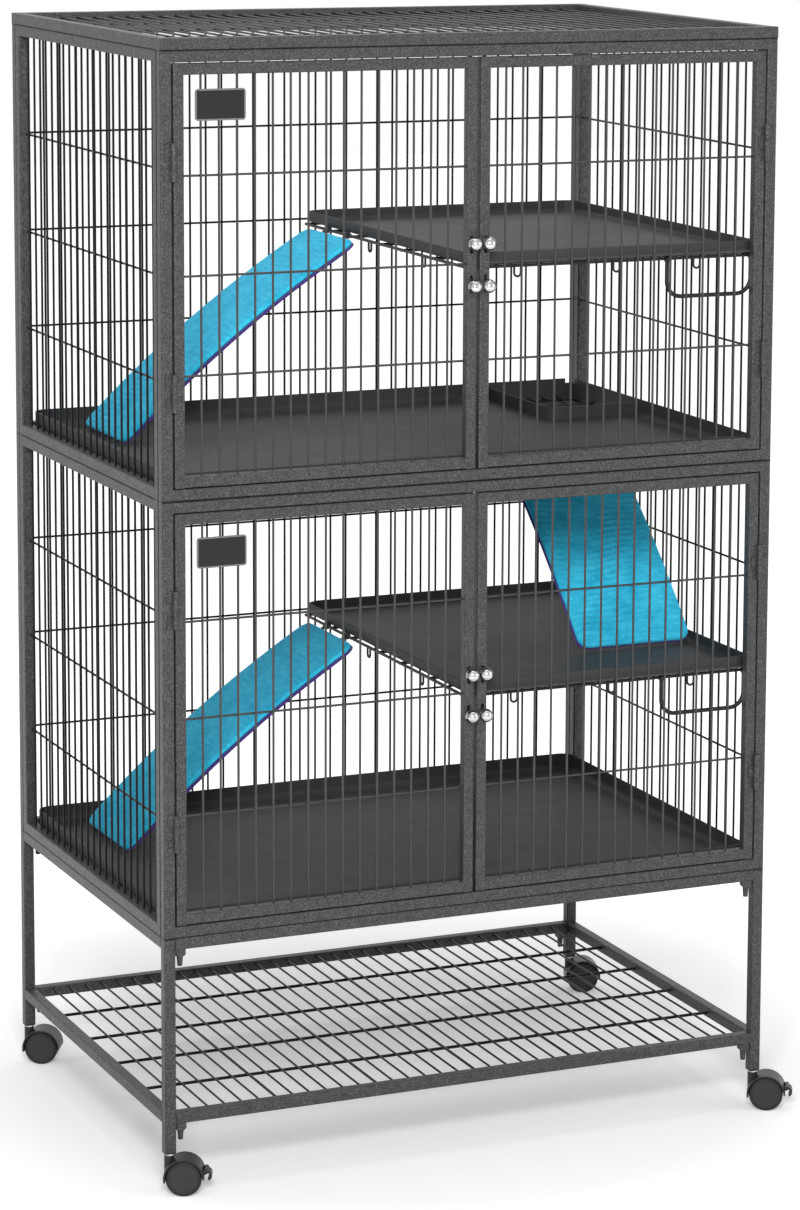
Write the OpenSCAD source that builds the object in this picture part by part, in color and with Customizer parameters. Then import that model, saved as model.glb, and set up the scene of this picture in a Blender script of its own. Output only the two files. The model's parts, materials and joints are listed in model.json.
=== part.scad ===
// Two-storey wire cage for small pets on a wheeled stand, with half shelves, ramps and double doors.
// Millimetres. X to the right, Y to the back, Z up. The origin is on the floor, under the middle of the footprint.

/* [Overall size] */
// Width over the corner posts
cage_w = 914; // [800:1:1100]
// Depth over the corner posts
cage_d = 635; // [580:1:760]
// Height of one storey
unit_h = 598; // [560:1:680]
// Length of the stand's posts
stand_h = 301; // [240:1:400]
// Height of the stand's storage shelf over the lower ends of the posts
stand_shelf_z = 41; // [20:1:90]

/* [Tubes] */
// Side of the square frame tube
tube = 16; // [14:0.5:20]
// Side of the square door tube
door_tube = 15; // [13:0.5:18]
// Radius of the tubes' long edges
tube_round = 2; // [1:0.1:3]

/* [Wires] */
// Diameter of the grille wires
wire_d = 3.2; // [2.5:0.1:4]
// Depth by which crossing wires are welded into each other
weld = 0.5; // [0.2:0.1:1]
// Depth by which a wire's end is let into its tube
wire_seat = 2; // [1:0.1:3]
// Distance between the upright wires of the doors
door_pitch = 25.4; // [20:0.1:32]
// Distance between the upright wires of the side panels
side_pitch = 26.5; // [20:0.1:32]
// Distance between the wires of the back panels, floors, lid and stand shelf
back_pitch = 25; // [20:0.1:32]
// Number of level wires across each upright panel
cross_wires = 3; // [1:1:5]
// Diameter of the bearing wires of floors and shelves
bearer_d = 4.5; // [3.5:0.1:5.5]
// Number of bearing wires under each floor
bearers = 4; // [2:1:6]

/* [Doors] */
// Gap between a door and its post
post_gap = 2; // [1.5:0.1:3]
// Gap between the two doors
door_gap = 4; // [3:0.1:8]
// Gap above and below a door
rail_gap = 1.5; // [1:0.1:3]
// Outer diameter of the hinge barrels
barrel_d = 8; // [7:0.1:10]
// Diameter of the hinge pins
hinge_pin_d = 4; // [3:0.1:5]
// Height of a hinge
hinge_h = 51; // [36:1:70]
// Distance between the middles of a door's two hinges
hinge_spread = 306; // [240:1:400]
// Width of a hinge leaf from its axis
leaf_w = 11; // [8:0.5:13]
// Thickness of a hinge leaf
leaf_t = 1.5; // [1:0.1:2]
// Running clearance on radius of pins and bolts
running = 0.05; // [0.02:0.01:0.1]
// Clearance between parts that move past each other
clear = 0.3; // [0.2:0.05:0.5]
// Width of the blank plate on a left door
plate_w = 71; // [50:1:90]
// Height of the blank plate
plate_h = 42; // [30:1:60]
// Distance of the plate's middle from the post
plate_x = 69.5; // [55:0.5:120]
// Distance of the plate's middle below the storey's top
plate_drop = 72.5; // [60:0.5:120]

/* [Door bolts] */
// Diameter of the bolt rods
bolt_d = 6; // [5:0.1:6.5]
// Diameter of the knobs
knob_d = 19; // [14:0.1:20]
// Distance between the knobs of the two doors
knob_space = 21; // [20.5:0.1:22]
// Distance between the upper and lower knob of a door
knob_rise = 58; // [50:1:80]
// Gap between a knob and the door's face
knob_gap = 3; // [2:0.1:5]
// Diameter of the neck that carries a knob
neck_d = 4; // [3:0.1:5]
// Travel of a bolt into its rail
bolt_throw = 8; // [5:0.5:10]
// Travel of a bolt out of the way when it is pinched
bolt_pull = 12; // [8:0.5:14]

/* [Floors and shelves] */
// Height of the floor grid's top above the storey's lower edge
grid_top = 6.5; // [6:0.1:12]
// Sheet thickness of the pans and trays
pan_t = 2; // [1.5:0.1:3]
// Height of a floor pan's rim
pan_h = 28; // [20:0.5:45]
// Gap between the pans and the walls
pan_gap = 2; // [1:0.1:4]
// Corner radius of the pans and trays
pan_round = 22; // [10:0.5:40]
// Radius between the floor and the rim of a floor pan
pan_cove = 12; // [4:0.5:16]
// Radius between the floor and the rim of a shelf tray
tray_cove = 5; // [4:0.5:12]
// Width of the ramp opening in the upper floor
hatch_w = 144; // [120:1:170]
// Distance of the opening's front edge from the back wall
hatch_y = 223.5; // [200:0.5:240]
// Distance of the hinge wire behind the opening in the grid from the back wall
hatch_back = 73.5; // [50:0.5:90]
// Height of the rim around the opening
hatch_rim = 20; // [12:0.5:26]
// Width of a half shelf
shelf_w = 440; // [360:1:480]
// Distance of a half shelf's underside below the level wires that carry it
shelf_drop = 4.5; // [2:0.5:30]
// Height of a half shelf's tray
tray_h = 18.5; // [12:0.5:26]
// Distance of the ramp's hinge wire from the tray
hinge_wire_x = 7; // [6.5:0.1:12]
// Depth of the dips in the shelf's edge wires
dip_h = 15; // [10:0.5:20]
// Bend radius of the dips
dip_r = 5; // [4:0.1:7]
// Wire diameter of the front brace of a shelf
brace_d = 6; // [4:0.1:8]
// Width of the brace between its legs
brace_w = 132; // [80:1:160]
// Drop of the brace below the shelf's wire
brace_h = 54; // [40:1:80]
// Bend radius of the brace
brace_r = 22; // [14:1:30]
// Distance of the brace's outer leg from the side panel
brace_x = 11; // [10:0.5:20]

/* [Ramps] */
// Length of a side ramp from its hinge wire to its toe
ramp_len = 458; // [430:1:480]
// Length of the ramp between the storeys
link_len = 462; // [430:1:480]
// Width of the ramp boards
ramp_w = 172; // [140:1:176]
// Thickness of the ramp boards
board_t = 3; // [2:0.1:5]
// Rise of a ramp's arch over its chord
ramp_arch = 15; // [4:0.5:24]
// Thickness of the fleece on top of a ramp
fleece_t = 4; // [2:0.1:7]
// Thickness of the lining under a ramp
lining_t = 2; // [1:0.1:3]
// Width of the fleece beside the board
fleece_side = 4.5; // [2:0.1:6]
// Width by which the lining shows beside the fleece
lining_side = 1; // [0.4:0.1:2]
// Corner radius of the ramps
ramp_round = 18; // [8:1:40]
// Distance of the side ramps' middle from the back wall
ramp_y = 130.5; // [110:0.5:160]
// Distance of the linking ramp's middle from the side wall
link_x = 97; // [94:0.5:120]
// Distance between the two hooks of a side ramp
hook_space = 80; // [60:1:110]
// Width of a hook
hook_w = 7; // [5:0.5:10]
// Thickness of a hook around its wire
hook_t = 2.7; // [2:0.1:3.2]

/* [Stand] */
// Width of the clips under the stand's rails
clip_w = 13; // [12:0.5:20]
// Height of the clips
clip_h = 10; // [8:0.5:16]
// Length of the clips' tapered studs
stud_h = 14; // [8:0.5:16]
// Of the wires across the storage shelf, each of this number is a thicker one
heavy_step = 6; // [3:1:12]
// Diameter of the thicker wires across the storage shelf
heavy_d = 4; // [3.4:0.1:4.4]
// Diameter of the clips' studs
stud_d = 9; // [7:0.1:10]

/* [Casters] */
// Diameter of the wheels
wheel_d = 49; // [42:0.5:54]
// Width over both wheels of a caster
wheels_w = 35; // [30:0.5:45]
// Distance of the wheel's axle behind the swivel axis
trail = 20.5; // [18:0.5:24]
// Angle by which the left front caster is turned to the front from pointing right
turn_front_left = 24; // [0:1:45]
// The same of the right front caster
turn_front_right = 30; // [0:1:45]
// The same of the left rear caster
turn_back_left = 29; // [0:1:45]
// The same of the right rear caster
turn_back_right = 20; // [0:1:45]
// Gap between the wheels and the hood
hood_gap = 1; // [0.8:0.1:2]
// Thickness of the hood
hood_t = 2.4; // [2:0.1:4]
// Thickness of the web between the wheels
web_t = 5; // [3:0.1:8]
// Diameter of the axle
axle_d = 6; // [5:0.1:8]
// Diameter of the swivel housing
housing_d = 14; // [13:0.5:15]
// Height of the collar between the housing and the post
collar_h = 3; // [2:0.1:5]
// Gap between the hood's top and the post
post_air = 4.6; // [3.5:0.1:6]
// Diameter of the swivel pin
stem_d = 9; // [7:0.1:11]
// Length of the swivel pin inside the post
stem_h = 28; // [18:1:40]
// Width of a brake lever
lever_w = 16; // [10:0.5:24]
// Thickness of a brake lever
lever_t = 3.5; // [2:0.1:5]
// Outer radius of a brake lever's curve
lever_r = 8; // [7.5:0.5:10]
// Diameter of a brake lever's pin
lever_pin_d = 3; // [2:0.1:3.5]

/* [Hidden] */
$fn = 32;
LEFT = -1;
RIGHT = 1;
FRONT = -1;
BACK = 1;
UP = 1;
DOWN = -1;
TUBE_PAINT = [0.27, 0.27, 0.28];
WIRE_PAINT = [0.16, 0.16, 0.17];
PAN_BLACK = [0.2, 0.2, 0.2];
KNOB_CHROME = [0.85, 0.85, 0.86];
FLEECE_BLUE = [0.05, 0.62, 0.85];
LINING_PURPLE = [0.3, 0.24, 0.6];
CASTER_BLACK = [0.13, 0.13, 0.14];

// Casters
hood_r = wheel_d / 2 + hood_gap + hood_t;
hood_w = wheels_w + 1;
post_z = wheel_d / 2 + hood_r + post_air;
wheel_gap = 0.5;
hood_tilt = 5;
hood_cut = 3;
boss_r = axle_d / 2 + 4;
pivot_r = lever_pin_d / 2 + 1.6;
pivot_out = hood_r + pivot_r + clear;
pivot_angle = 16;
pivot_x = pivot_out * cos(pivot_angle);
pivot_z = pivot_out * sin(pivot_angle);
lug_w = 3;
lug_reach = pivot_out - hood_r + hood_t / 2;
lever_start = -60;
lever_end = 90;
lever_x = pivot_x - (lever_r - lever_t / 2) * cos(lever_end);
lever_z = pivot_z - (lever_r - lever_t / 2) * sin(lever_end);
lever_bite = (pivot_r + lever_pin_d / 2) / 2;
lever_sweep = lever_end - lever_start - atan(lever_bite / (lever_r - lever_t / 2));

// The casters stand out on all sides, and the cage stands so that the footprint's middle is at the origin
lever_tip = trail + lever_x + lever_r;
right_reach = lever_tip * cos(turn_front_right) + lever_w / 2 * sin(turn_front_right);
front_reach = (hood_r + trail) * sin(turn_front_right) + hood_w / 2 * cos(turn_front_right);
left_reach = (hood_r - trail) * cos(turn_back_left) + hood_w / 2 * sin(turn_back_left);
back_reach = (hood_r - trail) * sin(turn_back_left) + hood_w / 2 * cos(turn_back_left);
cage_x = (left_reach - right_reach) / 2;
cage_y = (front_reach - back_reach) / 2;

// Levels
clip_gap = 2;
lower_z = post_z + stand_h;
upper_z = lower_z + unit_h;
lid_z = upper_z + unit_h;
storage_z = post_z + stand_shelf_z;

// Planes of the walls, measured from the cage's middle
front_y = -cage_d / 2;
post_x = cage_w / 2 - tube / 2;
post_y = cage_d / 2 - tube / 2;
inner_x = cage_w / 2 - tube;
inner_y = cage_d / 2 - tube;
open_w = 2 * inner_x;
open_h = unit_h - 2 * tube;
wire_step = wire_d - weld;

// Doors
door_w = inner_x - post_gap - door_gap / 2;
door_h = open_h - 2 * rail_gap;
door_x = door_gap / 2 + door_w / 2;
door_y = front_y + door_tube / 2;
axis_x = inner_x - post_gap / 2;
axis_y = front_y - barrel_d / 2;
bolt_x = knob_space / 2;
knob_y = front_y - knob_gap - knob_d / 2;
neck_clear = 0.2;
tip_h = 3;
mid_z = unit_h / 2;

// Floors, pans and shelves
bearer_step = (wire_d + bearer_d) / 2 - weld;
pan_x = inner_x - pan_gap;
pan_y = inner_y - pan_gap;
hatch_x = inner_x - hatch_w - pan_gap;
hatch_front = inner_y - hatch_y;
hatch_wire_y = inner_y - hatch_back;
shelf_right = pan_x;
shelf_left = shelf_right - shelf_w;
hang_z = tube + open_h * cross_at(floor(cross_wires / 2));
shelf_z = hang_z - shelf_drop;
shelf_wire_z = shelf_z - bearer_d / 2;
frame_right = inner_x - 3;
frame_left = shelf_left - hinge_wire_x;
frame_front = -inner_y + 4.5;
frame_back = inner_y - 5.5;
hang_x = cage_w / 2 - tube / 2 - wire_step;
hang_y = cage_d / 2 - tube / 2 - wire_step;
hang_r = wire_d / 2 + running + bearer_d / 2;
bearer_low = 1;
shelf_bearers = 5;
back_hangers = 4;
side_wires = wires_in(2 * (inner_y - tube), side_pitch);
back_wires = wires_in(open_w, back_pitch);
dip_places = [0.17, 0.51, 0.79];
side_dips = [0.25, 0.58];

// Ramps, measured along the chord from the hinge wire
hook_r = bearer_d / 2 + running + hook_t;
slip = 0.1;
ramp_start = 14;
link_start = 42;
ramp_drop = shelf_wire_z - grid_top - pan_t - clear;
link_hinge_z = unit_h + grid_top - bearer_d / 2;
link_drop = link_hinge_z - shelf_z - pan_t - clear;
ramp_foot = board_t / 2 + 2 * slip + lining_t;

// The side ramps' hooks lie in line with wires of the side panels, so the shelf's bearers between those wires pass them
ramp_mid = inner_y - ramp_y;
side_hooks = [for (s = [-1, 1]) ramp_mid - nearest_wire(ramp_mid - s * hook_space / 2, side_wires, side_pitch)];

// The linking ramp's eyes lie between the wires of the floor, inside the opening
first_gap = gap_at(ceil((hatch_x + hook_w) / back_pitch + (back_wires - 1) / 2 - 0.5), back_wires, back_pitch);
link_hooks = [for (i = [0, 2]) first_gap + i * back_pitch - (inner_x - link_x)];

// A square tube with rounded edges, as a flat section
module tube_section(side) {
    flat = side - 2 * tube_round;
    square([flat, side], center = true);
    square([side, flat], center = true);
    for (sx = [-1, 1], sy = [-1, 1])
        translate([sx * flat / 2, sy * flat / 2]) circle(tube_round);
}

module bar_x(x0, x1, y, z, side = tube) {
    translate([x0, y, z]) rotate([90, 0, 90]) linear_extrude(x1 - x0) tube_section(side);
}

module bar_y(x, y0, y1, z, side = tube) {
    translate([x, y1, z]) rotate([90, 0, 0]) linear_extrude(y1 - y0) tube_section(side);
}

module bar_z(x, y, z0, z1, side = tube) {
    translate([x, y, z0]) linear_extrude(z1 - z0) tube_section(side);
}

module wire_x(x0, x1, y, z, d = wire_d) {
    translate([x0, y, z]) rotate([0, 90, 0]) cylinder(d = d, h = x1 - x0);
}

module wire_y(x, y0, y1, z, d = wire_d) {
    translate([x, y0, z]) rotate([-90, 0, 0]) cylinder(d = d, h = y1 - y0);
}

module wire_z(x, y, z0, z1, d = wire_d) {
    translate([x, y, z0]) cylinder(d = d, h = z1 - z0);
}

// Number of wires that share a gap at about the given distance
function wires_in(gap, pitch) = round(gap / pitch) - 1;

// Place of wire i of n, from the middle of the gap
function wire_at(i, n, pitch) = (i - (n - 1) / 2) * pitch;

// Middle of the gap after wire i
function gap_at(i, n, pitch) = wire_at(i, n, pitch) + pitch / 2;

// Place of the wire nearest to y
function nearest_wire(y, n, pitch) = wire_at(round(y / pitch + (n - 1) / 2), n, pitch);

// Height of level wire i of the upright panels, as a share of the opening
function cross_at(i) = (i + 1) / (cross_wires + 1);

// The cage stands on the casters, beside the origin
module in_place() {
    translate([cage_x, cage_y, 0]) children();
}

// Upright wires between two rails and the level wires behind them, centred on X and standing on the opening's lower edge
module grille(w, h, pitch, behind) {
    n = wires_in(w, pitch);
    for (i = [0:n - 1])
        wire_z(wire_at(i, n, pitch), 0, -wire_seat, h + wire_seat);
    for (i = [0:cross_wires - 1])
        wire_x(-w / 2 - wire_seat, w / 2 + wire_seat, behind * wire_step, h * cross_at(i));
}

// Two stiles and two rails, centred on X and standing on the lower edge
module tube_frame(w, h, side) {
    for (s = [LEFT, RIGHT])
        bar_z(s * (w - side) / 2, 0, 0, h, side);
    for (z = [side / 2, h - side / 2])
        bar_x(-(w - side) / 2, (w - side) / 2, 0, z, side);
}

module wire_panel(w, h, side, pitch, behind) {
    tube_frame(w, h, side);
    translate([0, 0, side]) grille(w - 2 * side, h - 2 * side, pitch, behind);
}

// A stand post with the bore for its caster's pin
module stand_post(side_x, side_y) {
    color(TUBE_PAINT) in_place() difference() {
        bar_z(side_x * post_x, side_y * post_y, post_z, lower_z);
        translate([side_x * post_x, side_y * post_y, post_z - 1])
            cylinder(d = stem_d + 2 * running, h = stem_h + 3);
    }
}

module stand_post_front_left() { stand_post(LEFT, FRONT); }
module stand_post_front_right() { stand_post(RIGHT, FRONT); }
module stand_post_back_left() { stand_post(LEFT, BACK); }
module stand_post_back_right() { stand_post(RIGHT, BACK); }

// The four rails between the tops of the stand's posts
module stand_rails() {
    color(TUBE_PAINT) in_place() {
        for (s = [FRONT, BACK])
            bar_x(-inner_x, inner_x, s * post_y, lower_z - tube / 2);
        for (s = [LEFT, RIGHT])
            bar_y(s * post_x, -inner_y, inner_y, lower_z - tube / 2);
    }
}

// The storage shelf: four rails between the posts with a grid of wires let into them. The side rails end clear of the posts
module stand_shelf() {
    n = wires_in(open_w, back_pitch);
    rail_z = storage_z + tube / 2;
    color(TUBE_PAINT) in_place() {
        for (s = [FRONT, BACK])
            bar_x(-inner_x, inner_x, s * post_y, rail_z);
        for (s = [LEFT, RIGHT])
            bar_y(s * post_x, clear - inner_y, inner_y - clear, rail_z);
        for (i = [0:n - 1]) {
            d = (i + 1) % heavy_step == 0 ? heavy_d : wire_d;
            wire_y(wire_at(i, n, back_pitch), -inner_y - wire_seat, inner_y + wire_seat, rail_z + bearer_step, d);
        }
        for (i = [1:bearers])
            wire_x(-inner_x - wire_seat, inner_x + wire_seat, inner_y * (2 * i / (bearers + 1) - 1), rail_z, bearer_d);
    }
}

// A clip under the end of a rail, cut off at its free corner, with its tapered stud
module rail_clip(side_x, side_y, z) {
    d = tube - 2 * tube_round;
    cut = clip_h / 4;
    translate([side_x * (inner_x - clip_gap), side_y * post_y, z]) rotate([0, 0, side_x == LEFT ? 0 : 180]) {
        translate([0, d / 2, 0]) rotate([90, 0, 0]) linear_extrude(d)
            polygon([[0, 0], [clip_w, 0], [clip_w, cut - clip_h], [clip_w - cut, -clip_h], [0, -clip_h]]);
        translate([clip_w / 2, 0, -clip_h - stud_h]) cylinder(d1 = stud_d - 2, d2 = stud_d, h = stud_h);
    }
}

module rail_clips() {
    color(TUBE_PAINT) in_place()
        for (sx = [LEFT, RIGHT], sy = [FRONT, BACK], z = [lower_z - tube, storage_z])
            rail_clip(sx, sy, z);
}

// The posts and rails around the doors, with the bolt holes in the rails
module front_frame(z) {
    color(TUBE_PAINT) in_place() translate([0, 0, z]) difference() {
        translate([0, -post_y, 0]) tube_frame(cage_w, unit_h, tube);
        for (s = [LEFT, RIGHT]) {
            translate([s * bolt_x, door_y, tube - bolt_throw - 1])
                cylinder(d = bolt_d + 2 * clear, h = bolt_throw + 2);
            translate([s * bolt_x, door_y, unit_h - tube - 1])
                cylinder(d = bolt_d + 2 * clear, h = bolt_throw + 2);
        }
    }
}

module lower_front_frame() { front_frame(lower_z); }
module upper_front_frame() { front_frame(upper_z); }

module back_panel(z) {
    color(WIRE_PAINT) in_place() translate([0, post_y, z]) wire_panel(cage_w, unit_h, tube, back_pitch, FRONT);
}

module lower_back_panel() { back_panel(lower_z); }
module upper_back_panel() { back_panel(upper_z); }

// A side panel between the front frame and the back panel, its level wires inside
module side_panel(side_x, z) {
    color(WIRE_PAINT) in_place() translate([side_x * post_x, 0, z]) rotate([0, 0, -90 * side_x])
        wire_panel(2 * inner_y, unit_h, tube, side_pitch, FRONT);
}

module lower_left_panel() { side_panel(LEFT, lower_z); }
module lower_right_panel() { side_panel(RIGHT, lower_z); }
module upper_left_panel() { side_panel(LEFT, upper_z); }
module upper_right_panel() { side_panel(RIGHT, upper_z); }

// The floor's wires between the rails of the four walls, carried by thicker wires below
module floor_wires() {
    n = wires_in(open_w, back_pitch);
    for (i = [0:n - 1])
        wire_y(wire_at(i, n, back_pitch), -inner_y, inner_y, grid_top - wire_d / 2);
    for (i = [1:bearers])
        wire_x(-inner_x, inner_x, inner_y * (2 * i / (bearers + 1) - 1), grid_top - wire_d / 2 - wire_step);
}

module lower_floor_grid() {
    color(WIRE_PAINT) in_place() translate([0, 0, lower_z]) floor_wires();
}

// The upper floor's grid is open where the linking ramp comes up, and its rear edge wire carries that ramp
module upper_floor_grid() {
    z = grid_top - bearer_d / 2;
    color(WIRE_PAINT) in_place() translate([0, 0, upper_z]) {
        difference() {
            floor_wires();
            translate([hatch_x, hatch_front, -tube])
                cube([inner_x - hatch_x + 1, hatch_wire_y - hatch_front, 2 * tube]);
        }
        wire_x(hatch_x, inner_x, hatch_front, z, bearer_d);
        wire_x(hatch_x, inner_x, hatch_wire_y, z, bearer_d);
        wire_y(hatch_x, hatch_front, hatch_wire_y, z, bearer_d);
        for (y = [hatch_front, hatch_wire_y])
            translate([hatch_x, y, z]) sphere(d = bearer_d);
    }
}

// Upright section of a tray's bowl: square at the top, rounded at the foot
module bowl_section(w, h, r) {
    translate([-w / 2 + r, 0]) square([w - 2 * r, h]);
    translate([-w / 2, r]) square([w, h - r]);
    for (x = [-w / 2 + r, w / 2 - r])
        translate([x, r]) circle(r);
}

// A bowl w wide and d deep with rounded upright edges and a rounded foot
module bowl(w, d, h, round_r, foot_r) {
    intersection() {
        translate([0, d / 2, 0]) rotate([90, 0, 0]) linear_extrude(d) bowl_section(w, h, foot_r);
        translate([-w / 2, 0, 0]) rotate([90, 0, 90]) linear_extrude(w) bowl_section(d, h, foot_r);
        linear_extrude(h) {
            square([w - 2 * round_r, d], center = true);
            square([w, d - 2 * round_r], center = true);
            for (sx = [-1, 1], sy = [-1, 1])
                translate([sx * (w / 2 - round_r), sy * (d / 2 - round_r)]) circle(round_r);
        }
    }
}

// A moulded tray over the rectangle from x0, y0 to x1, y1
module tray(x0, y0, x1, y1, h, cove) {
    w = x1 - x0;
    d = y1 - y0;
    translate([(x0 + x1) / 2, (y0 + y1) / 2, 0]) difference() {
        bowl(w, d, h, pan_round, cove);
        translate([0, 0, pan_t])
            bowl(w - 2 * pan_t, d - 2 * pan_t, h, pan_round - pan_t, cove - pan_t);
    }
}

module floor_pan() {
    translate([0, 0, grid_top]) tray(-pan_x, -pan_y, pan_x, pan_y, pan_h, pan_cove);
}

module lower_floor_pan() {
    color(PAN_BLACK) in_place() translate([0, 0, lower_z]) floor_pan();
}

// The outline of the opening in the upper pan, rounded at its free corner
module hatch_outline(grow) {
    x0 = hatch_x - grow;
    y0 = hatch_front - grow;
    r = pan_round + grow;
    difference() {
        translate([x0, y0]) square([pan_x + grow - x0, pan_y + grow - y0]);
        translate([x0 - 1, y0 - 1]) difference() {
            square(r + 1);
            translate([r + 1, r + 1]) circle(r);
        }
    }
}

module upper_floor_pan() {
    color(PAN_BLACK) in_place() translate([0, 0, upper_z]) difference() {
        union() {
            floor_pan();
            intersection() {
                translate([0, 0, grid_top + pan_t / 2]) linear_extrude(hatch_rim) hatch_outline(pan_t);
                translate([-pan_x, -pan_y, 0]) cube([2 * pan_x - pan_t / 2, 2 * pan_y - pan_t / 2, unit_h]);
            }
        }
        difference() {
            linear_extrude(unit_h) hatch_outline(0);
            translate([pan_x - pan_t, -pan_y, 0]) cube([pan_t, 2 * pan_y, unit_h]);
            translate([-pan_x, pan_y - pan_t, 0]) cube([2 * pan_x, pan_t, unit_h]);
        }
    }
}

// A wire bent through part of a circle in the XZ plane, from angle a0 over the given sweep
module bend(x, y, z, r, d, a0, sweep) {
    translate([x, y, z]) rotate([90, 0, 0]) rotate([0, 0, a0])
        rotate_extrude(angle = sweep) translate([r, 0]) circle(d = d);
}

// A dip in a wire along X, hanging from the wire's axis
module dip(x, y, z) {
    for (s = [-1, 1])
        wire_z(x + s * dip_r, y, z - dip_h + dip_r, z, wire_d);
    bend(x, y, z - dip_h + dip_r, dip_r, wire_d, 180, 180);
}

// A hook that rises beside a level wire of the wall and bends over it, from a bearer at x = 0
module hanger(rise) {
    wire_z(0, 0, 0, rise, bearer_d);
    bend(hang_r, 0, rise, hang_r, bearer_d, 0, 180);
    sphere(d = bearer_d);
}

// The wire frame under a half shelf, hung on the level wires of the side and back walls. Its bearers lie a little low
module shelf_frame() {
    z = shelf_wire_z;
    low = z - bearer_low;
    rise = hang_z - low;
    for (y = [frame_front, frame_back])
        wire_x(frame_left, frame_right, y, z, bearer_d);
    for (x = [frame_left, frame_right])
        wire_y(x, frame_front, frame_back, z, bearer_d);
    for (x = [frame_left, frame_right], y = [frame_front, frame_back])
        translate([x, y, z]) sphere(d = bearer_d);
    for (i = [1:shelf_bearers]) {
        y = gap_at(floor(side_wires * i / (shelf_bearers + 1)), side_wires, side_pitch);
        wire_x(frame_left, hang_x - hang_r, y, low, bearer_d);
        translate([hang_x - hang_r, y, low]) hanger(rise);
    }
    for (i = [1:back_hangers]) {
        x = gap_at(floor(back_wires / 2 * (1 + i / (back_hangers + 1))), back_wires, back_pitch);
        wire_y(x, frame_back, hang_y - hang_r, low, bearer_d);
        translate([x, hang_y - hang_r, low]) rotate([0, 0, 90]) hanger(rise);
    }
    for (share = dip_places)
        dip(frame_left + share * (frame_right - frame_left), frame_front, z);
    for (share = side_dips)
        translate([frame_left, frame_front + share * (frame_back - frame_front), z]) rotate([0, 0, 90]) dip(0, 0, 0);
}

module lower_shelf_frame() {
    color(WIRE_PAINT) in_place() translate([0, 0, lower_z]) shelf_frame();
}

module upper_shelf_frame() {
    color(WIRE_PAINT) in_place() translate([0, 0, upper_z]) shelf_frame();
}

module shelf_tray(z) {
    color(PAN_BLACK) in_place() translate([0, 0, z + shelf_z])
        tray(shelf_left, -pan_y, shelf_right, pan_y, tray_h, tray_cove);
}

module lower_shelf_tray() { shelf_tray(lower_z); }
module upper_shelf_tray() { shelf_tray(upper_z); }

// An eye around a wire along X, ground off a slip below the wire's top, where the tray lies on it
module eye(w) {
    difference() {
        rotate([0, 90, 0]) cylinder(r = hook_r, h = w, center = true);
        rotate([0, 90, 0]) cylinder(d = bearer_d + 2 * running, h = w + 1, center = true);
        translate([-w, -hook_r - 1, bearer_d / 2 - slip]) cube([2 * w, 2 * hook_r + 2, hook_r]);
    }
}

// A bent wire that hangs in two eyes under the shelf's front edge
module shelf_brace(z) {
    x1 = inner_x - brace_x;
    x0 = x1 - brace_w;
    low = -brace_h;
    translate([0, frame_front, z + shelf_wire_z]) {
        for (x = [x0, x1]) {
            translate([x, 0, 0]) eye(brace_d);
            wire_z(x, 0, low + brace_r, -hook_r + 1, brace_d);
        }
        bend(x0 + brace_r, 0, low + brace_r, brace_r, brace_d, 180, 90);
        bend(x1 - brace_r, 0, low + brace_r, brace_r, brace_d, 270, 90);
        wire_x(x0 + brace_r, x1 - brace_r, 0, low, brace_d);
    }
}

module shelf_braces() {
    color(WIRE_PAINT) in_place() {
        shelf_brace(lower_z);
        shelf_brace(upper_z);
    }
}

// The lid: a tube frame with wires let into it
module lid() {
    n = wires_in(open_w, back_pitch);
    z = lid_z + tube / 2;
    color(TUBE_PAINT) in_place() {
        for (s = [FRONT, BACK])
            bar_x(-cage_w / 2, cage_w / 2, s * post_y, z);
        for (s = [LEFT, RIGHT])
            bar_y(s * post_x, -post_y, post_y, z);
        for (i = [0:n - 1])
            wire_y(wire_at(i, n, back_pitch), -inner_y - wire_seat, inner_y + wire_seat, z);
        for (i = [0:cross_wires - 1])
            wire_x(-inner_x - wire_seat, inner_x + wire_seat, inner_y * (2 * cross_at(i) - 1), z - wire_step);
    }
}

// The part of a hinge that stays with the post: two knuckles on their leaf, joined by the pin
module fixed_hinge(side_x, z) {
    knuckle = hinge_h / 3;
    translate([side_x * axis_x, axis_y, z]) {
        cylinder(d = hinge_pin_d, h = hinge_h, center = true);
        for (s = [DOWN, UP]) {
            translate([0, 0, s * knuckle]) cylinder(d = barrel_d, h = knuckle, center = true);
            translate([side_x * leaf_w / 2, (barrel_d - leaf_t) / 2, s * knuckle])
                cube([leaf_w, leaf_t, knuckle], center = true);
        }
    }
}

module storey_hinges(z) {
    color(TUBE_PAINT) in_place()
        for (s = [LEFT, RIGHT], h = [DOWN, UP])
            fixed_hinge(s, z + mid_z + h * hinge_spread / 2);
}

module lower_hinges() { storey_hinges(lower_z); }
module upper_hinges() { storey_hinges(upper_z); }

// The knuckle and leaf that turn with the door
module door_knuckle(side_x, z) {
    knuckle = hinge_h / 3 - 2 * clear;
    translate([side_x * axis_x, axis_y, z]) {
        cylinder(d = barrel_d, h = knuckle, center = true);
        translate([-side_x * leaf_w / 2, (barrel_d - leaf_t) / 2, 0])
            cube([leaf_w, leaf_t, knuckle], center = true);
    }
}

// The slot in which the neck of a knob travels
module neck_slot(z, way) {
    w = neck_d + 2 * neck_clear;
    from = -way * bolt_pull;
    to = way * bolt_throw;
    for (dz = [from, to])
        translate([0, -door_tube, z + dz]) rotate([-90, 0, 0]) cylinder(d = w, h = door_tube);
    translate([-w / 2, -door_tube, z + min(from, to)]) cube([w, door_tube, bolt_pull + bolt_throw]);
}

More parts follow.
